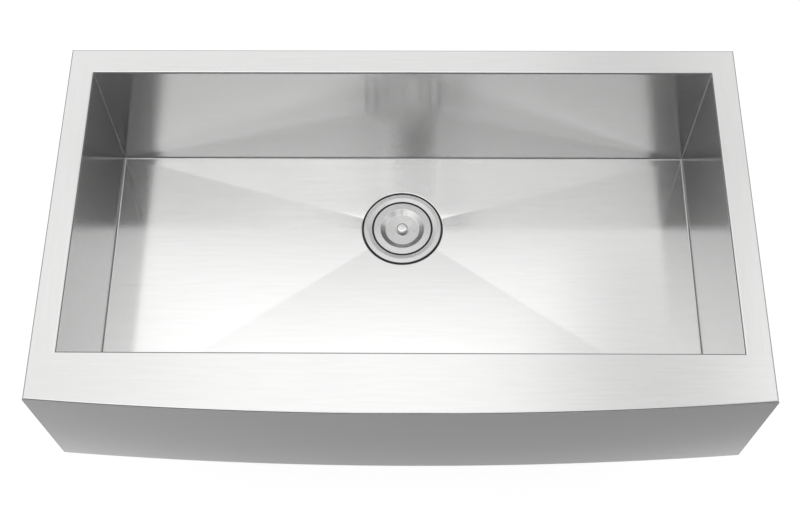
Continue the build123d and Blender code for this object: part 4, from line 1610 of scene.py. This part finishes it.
def card(name, corner, side, up, levels, feather):
    """Studio card with soft edges that glows from one level at its start to another at its end.

    side and up run from the corner along the card's edges; feather gives the soft part at both
    ends of side, at the start of up and at its end.
    """
    glowing, recipe = blank(name)
    place = recipe.wire("ShaderNodeUVMap", {"uv_map": "card"})
    split = recipe.node("ShaderNodeSeparateXYZ", {}, {0: place})
    u, v = (Wire(recipe, split.outputs[axis]) for axis in "XY")
    cover = u.limited(0.0, feather[0]) * (1 - u).limited(0.0, feather[0])
    cover = cover * v.limited(0.0, feather[1]) * (1 - v).limited(0.0, feather[2])
    level = levels[0] + (levels[1] - levels[0]) * u
    glow = recipe.wire("ShaderNodeEmission", {}, {"Strength": level})
    clear = recipe.wire("ShaderNodeBsdfTransparent")
    recipe.surface(recipe.wire("ShaderNodeMixShader", {}, {0: cover, 1: clear, 2: glow}))
    bm = bmesh.new()
    corner, side, up = Vector(corner), Vector(side), Vector(up)
    spots = ((0, 0), (1, 0), (1, 1), (0, 1))
    face = bm.faces.new([bm.verts.new(corner + side * s + up * t) for s, t in spots])
    layer = bm.loops.layers.uv.new("card")
    for loop, spot in zip(face.loops, spots):
        loop[layer].uv = spot
    piece = made(name, bm, [glowing])
    piece.visible_camera = False


def build_cards():
    """Soft boxes overhead, the dim room round them and a dim patch of its floor."""
    ground = cad_low.z
    reach, rise, front, depth = 2.6, 2.3, -1.6, 4.8
    # overhead: front left corner, width and depth, glow at its left and right, soft parts
    overhead = {
        "ceiling": ((-reach, -0.6, 2.7), (2 * reach, 3.6), (1.24, 1.12), (0.08, 0.02, 0.1)),
        "ceiling_front": ((-reach, -2.6, 2.69), (2 * reach, 2.1), (1.5, 0.5), (0.05, 0.1, 0.05)),
        "soft_box": ((-1.2, -0.5, 2.6), (1.95, 1.8), (1.45, 1.5), (0.35, 0.3, 0.3)),
        "side_box": ((0.95, -0.5, 2.6), (1.3, 1.8), (1.35, 1.35), (0.3, 0.3, 0.3)),
        "box_gap": ((0.4, -0.5, 2.58), (0.85, 3.4), (0.9, 0.9), (0.45, 0.1, 0.1)),
        "back_gap": ((-1.3, 1.16, 2.57), (2.6, 0.5), (1.0, 0.92), (0.1, 0.5, 0.3)),
        "front_box": ((-0.8, -1.62, 2.6), (2.0, 0.77), (2.9, 1.85), (0.25, 0.15, 0.8)),
        "near_box": ((-1.4, -1.26, 2.59), (1.0, 0.56), (2.6, 2.6), (0.3, 0.3, 0.3)),
    }
    for name, (corner, (wide, deep), levels, feather) in overhead.items():
        card(name, corner, (wide, 0, 0), (0, deep, 0), levels, feather)
    # upright: start and run in plan, height, glow at its start and end, soft parts
    across_room, along_room, soft = (2 * reach, 0, 0), (0, depth, 0), (0.05, 0.28, 0.28)
    room = {
        "dark_front": ((-reach, front), across_room, 2.05, (0.3, 0.22), (0.05, 0.2, 0.2)),
        "dark_back": ((-reach, front + depth), across_room, rise, (0.34, 0.34), soft),
        "dark_left": ((-reach, front), along_room, rise, (0.3, 0.34), soft),
        "dark_right": ((reach, front), along_room, rise, (0.24, 0.3), soft),
    }
    for name, (start, run, height, levels, feather) in room.items():
        card(name, (*start, ground), run, (0, 0, height), levels, feather)
    patch = (-1.6, -1.7, ground)
    card("dark_floor", patch, (3.2, 0, 0), (0, 1.16, 0), (0.52, 0.25), (0.1, 0.04, 0.04))


def build_stand():
    """Black stand behind the camera, and a black screen along each of the camera's sides.

    The screens point at the camera's image in the bowl's back wall: that wall sees them edge
    on, and the side walls see them broadside.
    """
    eye = bpy.context.scene.sink_stage.camera_place
    black, height = (0.0, 0.0), (0, 0, 1.2)
    corner = (eye.x - 0.035, eye.y - 0.15, 0.8)
    card("camera_stand", corner, (0.09, 0, 0), height, black, (0.15, 0.1, 0.15))
    image = 2 * opening_back - eye.y
    near_y, far_y, foot, spread = -0.45, -2.35, 0.75, 0.039
    for name, sx in (("left", -1), ("right", 1)):
        slope = sx * spread
        near, far = (Vector((eye.x + slope * (image - y), y, foot)) for y in (near_y, far_y))
        card("camera_side_" + name, near, far - near, height, black, (0.1, 0.1, 0.25))


class SINK_OT_stage(bpy.types.Operator):
    """Build the camera, the floor and the light"""

    bl_idname = "sink.stage"
    bl_label = "Stage"

    def execute(self, context):
        build_camera()
        build_floor()
        build_world()
        build_cards()
        build_stand()
        return {"FINISHED"}


class SINK_PT_panel(bpy.types.Panel):
    """The sink's steps and sizes in the 3D view's sidebar"""

    bl_idname = "SINK_PT_panel"
    bl_label = "Sink"
    bl_space_type = "VIEW_3D"
    bl_region_type = "UI"
    bl_category = "Sink"

    def draw(self, context):
        for step in STEPS:
            self.layout.operator(step.bl_idname)
        for group in ("sink_sheet", "sink_strainer", "sink_finish", "sink_stage"):
            values = getattr(context.scene, group)
            for name in values.bl_rna.properties.keys():
                if name not in ("rna_type", "name"):
                    self.layout.prop(values, name)


STEPS = (
    SINK_OT_bowl,
    SINK_OT_rims,
    SINK_OT_apron,
    SINK_OT_pads,
    SINK_OT_strainer,
    SINK_OT_basket,
    SINK_OT_lid,
    SINK_OT_stage,
)
GROUPS = {
    "sink_sheet": SinkSheet,
    "sink_strainer": SinkStrainer,
    "sink_finish": SinkFinish,
    "sink_stage": SinkStage,
}


def register():
    """Register the sizes, the steps and the panel."""
    for name, group in GROUPS.items():
        bpy.utils.register_class(group)
        setattr(bpy.types.Scene, name, bpy.props.PointerProperty(type=group))
    for step in (*STEPS, SINK_PT_panel):
        bpy.utils.register_class(step)


def unregister():
    """Take them out again."""
    for step in (SINK_PT_panel, *reversed(STEPS)):
        bpy.utils.unregister_class(step)
    for name, group in GROUPS.items():
        delattr(bpy.types.Scene, name)
        bpy.utils.unregister_class(group)


def main():
    """Build the sink and its stage."""
    register()
    bpy.ops.sink.bowl()
    bpy.ops.sink.rims()
    bpy.ops.sink.apron()
    bpy.ops.sink.pads()
    bpy.ops.sink.strainer()
    bpy.ops.sink.basket()
    bpy.ops.sink.lid()
    bpy.ops.sink.stage()


if __name__ == "__main__":
    main()
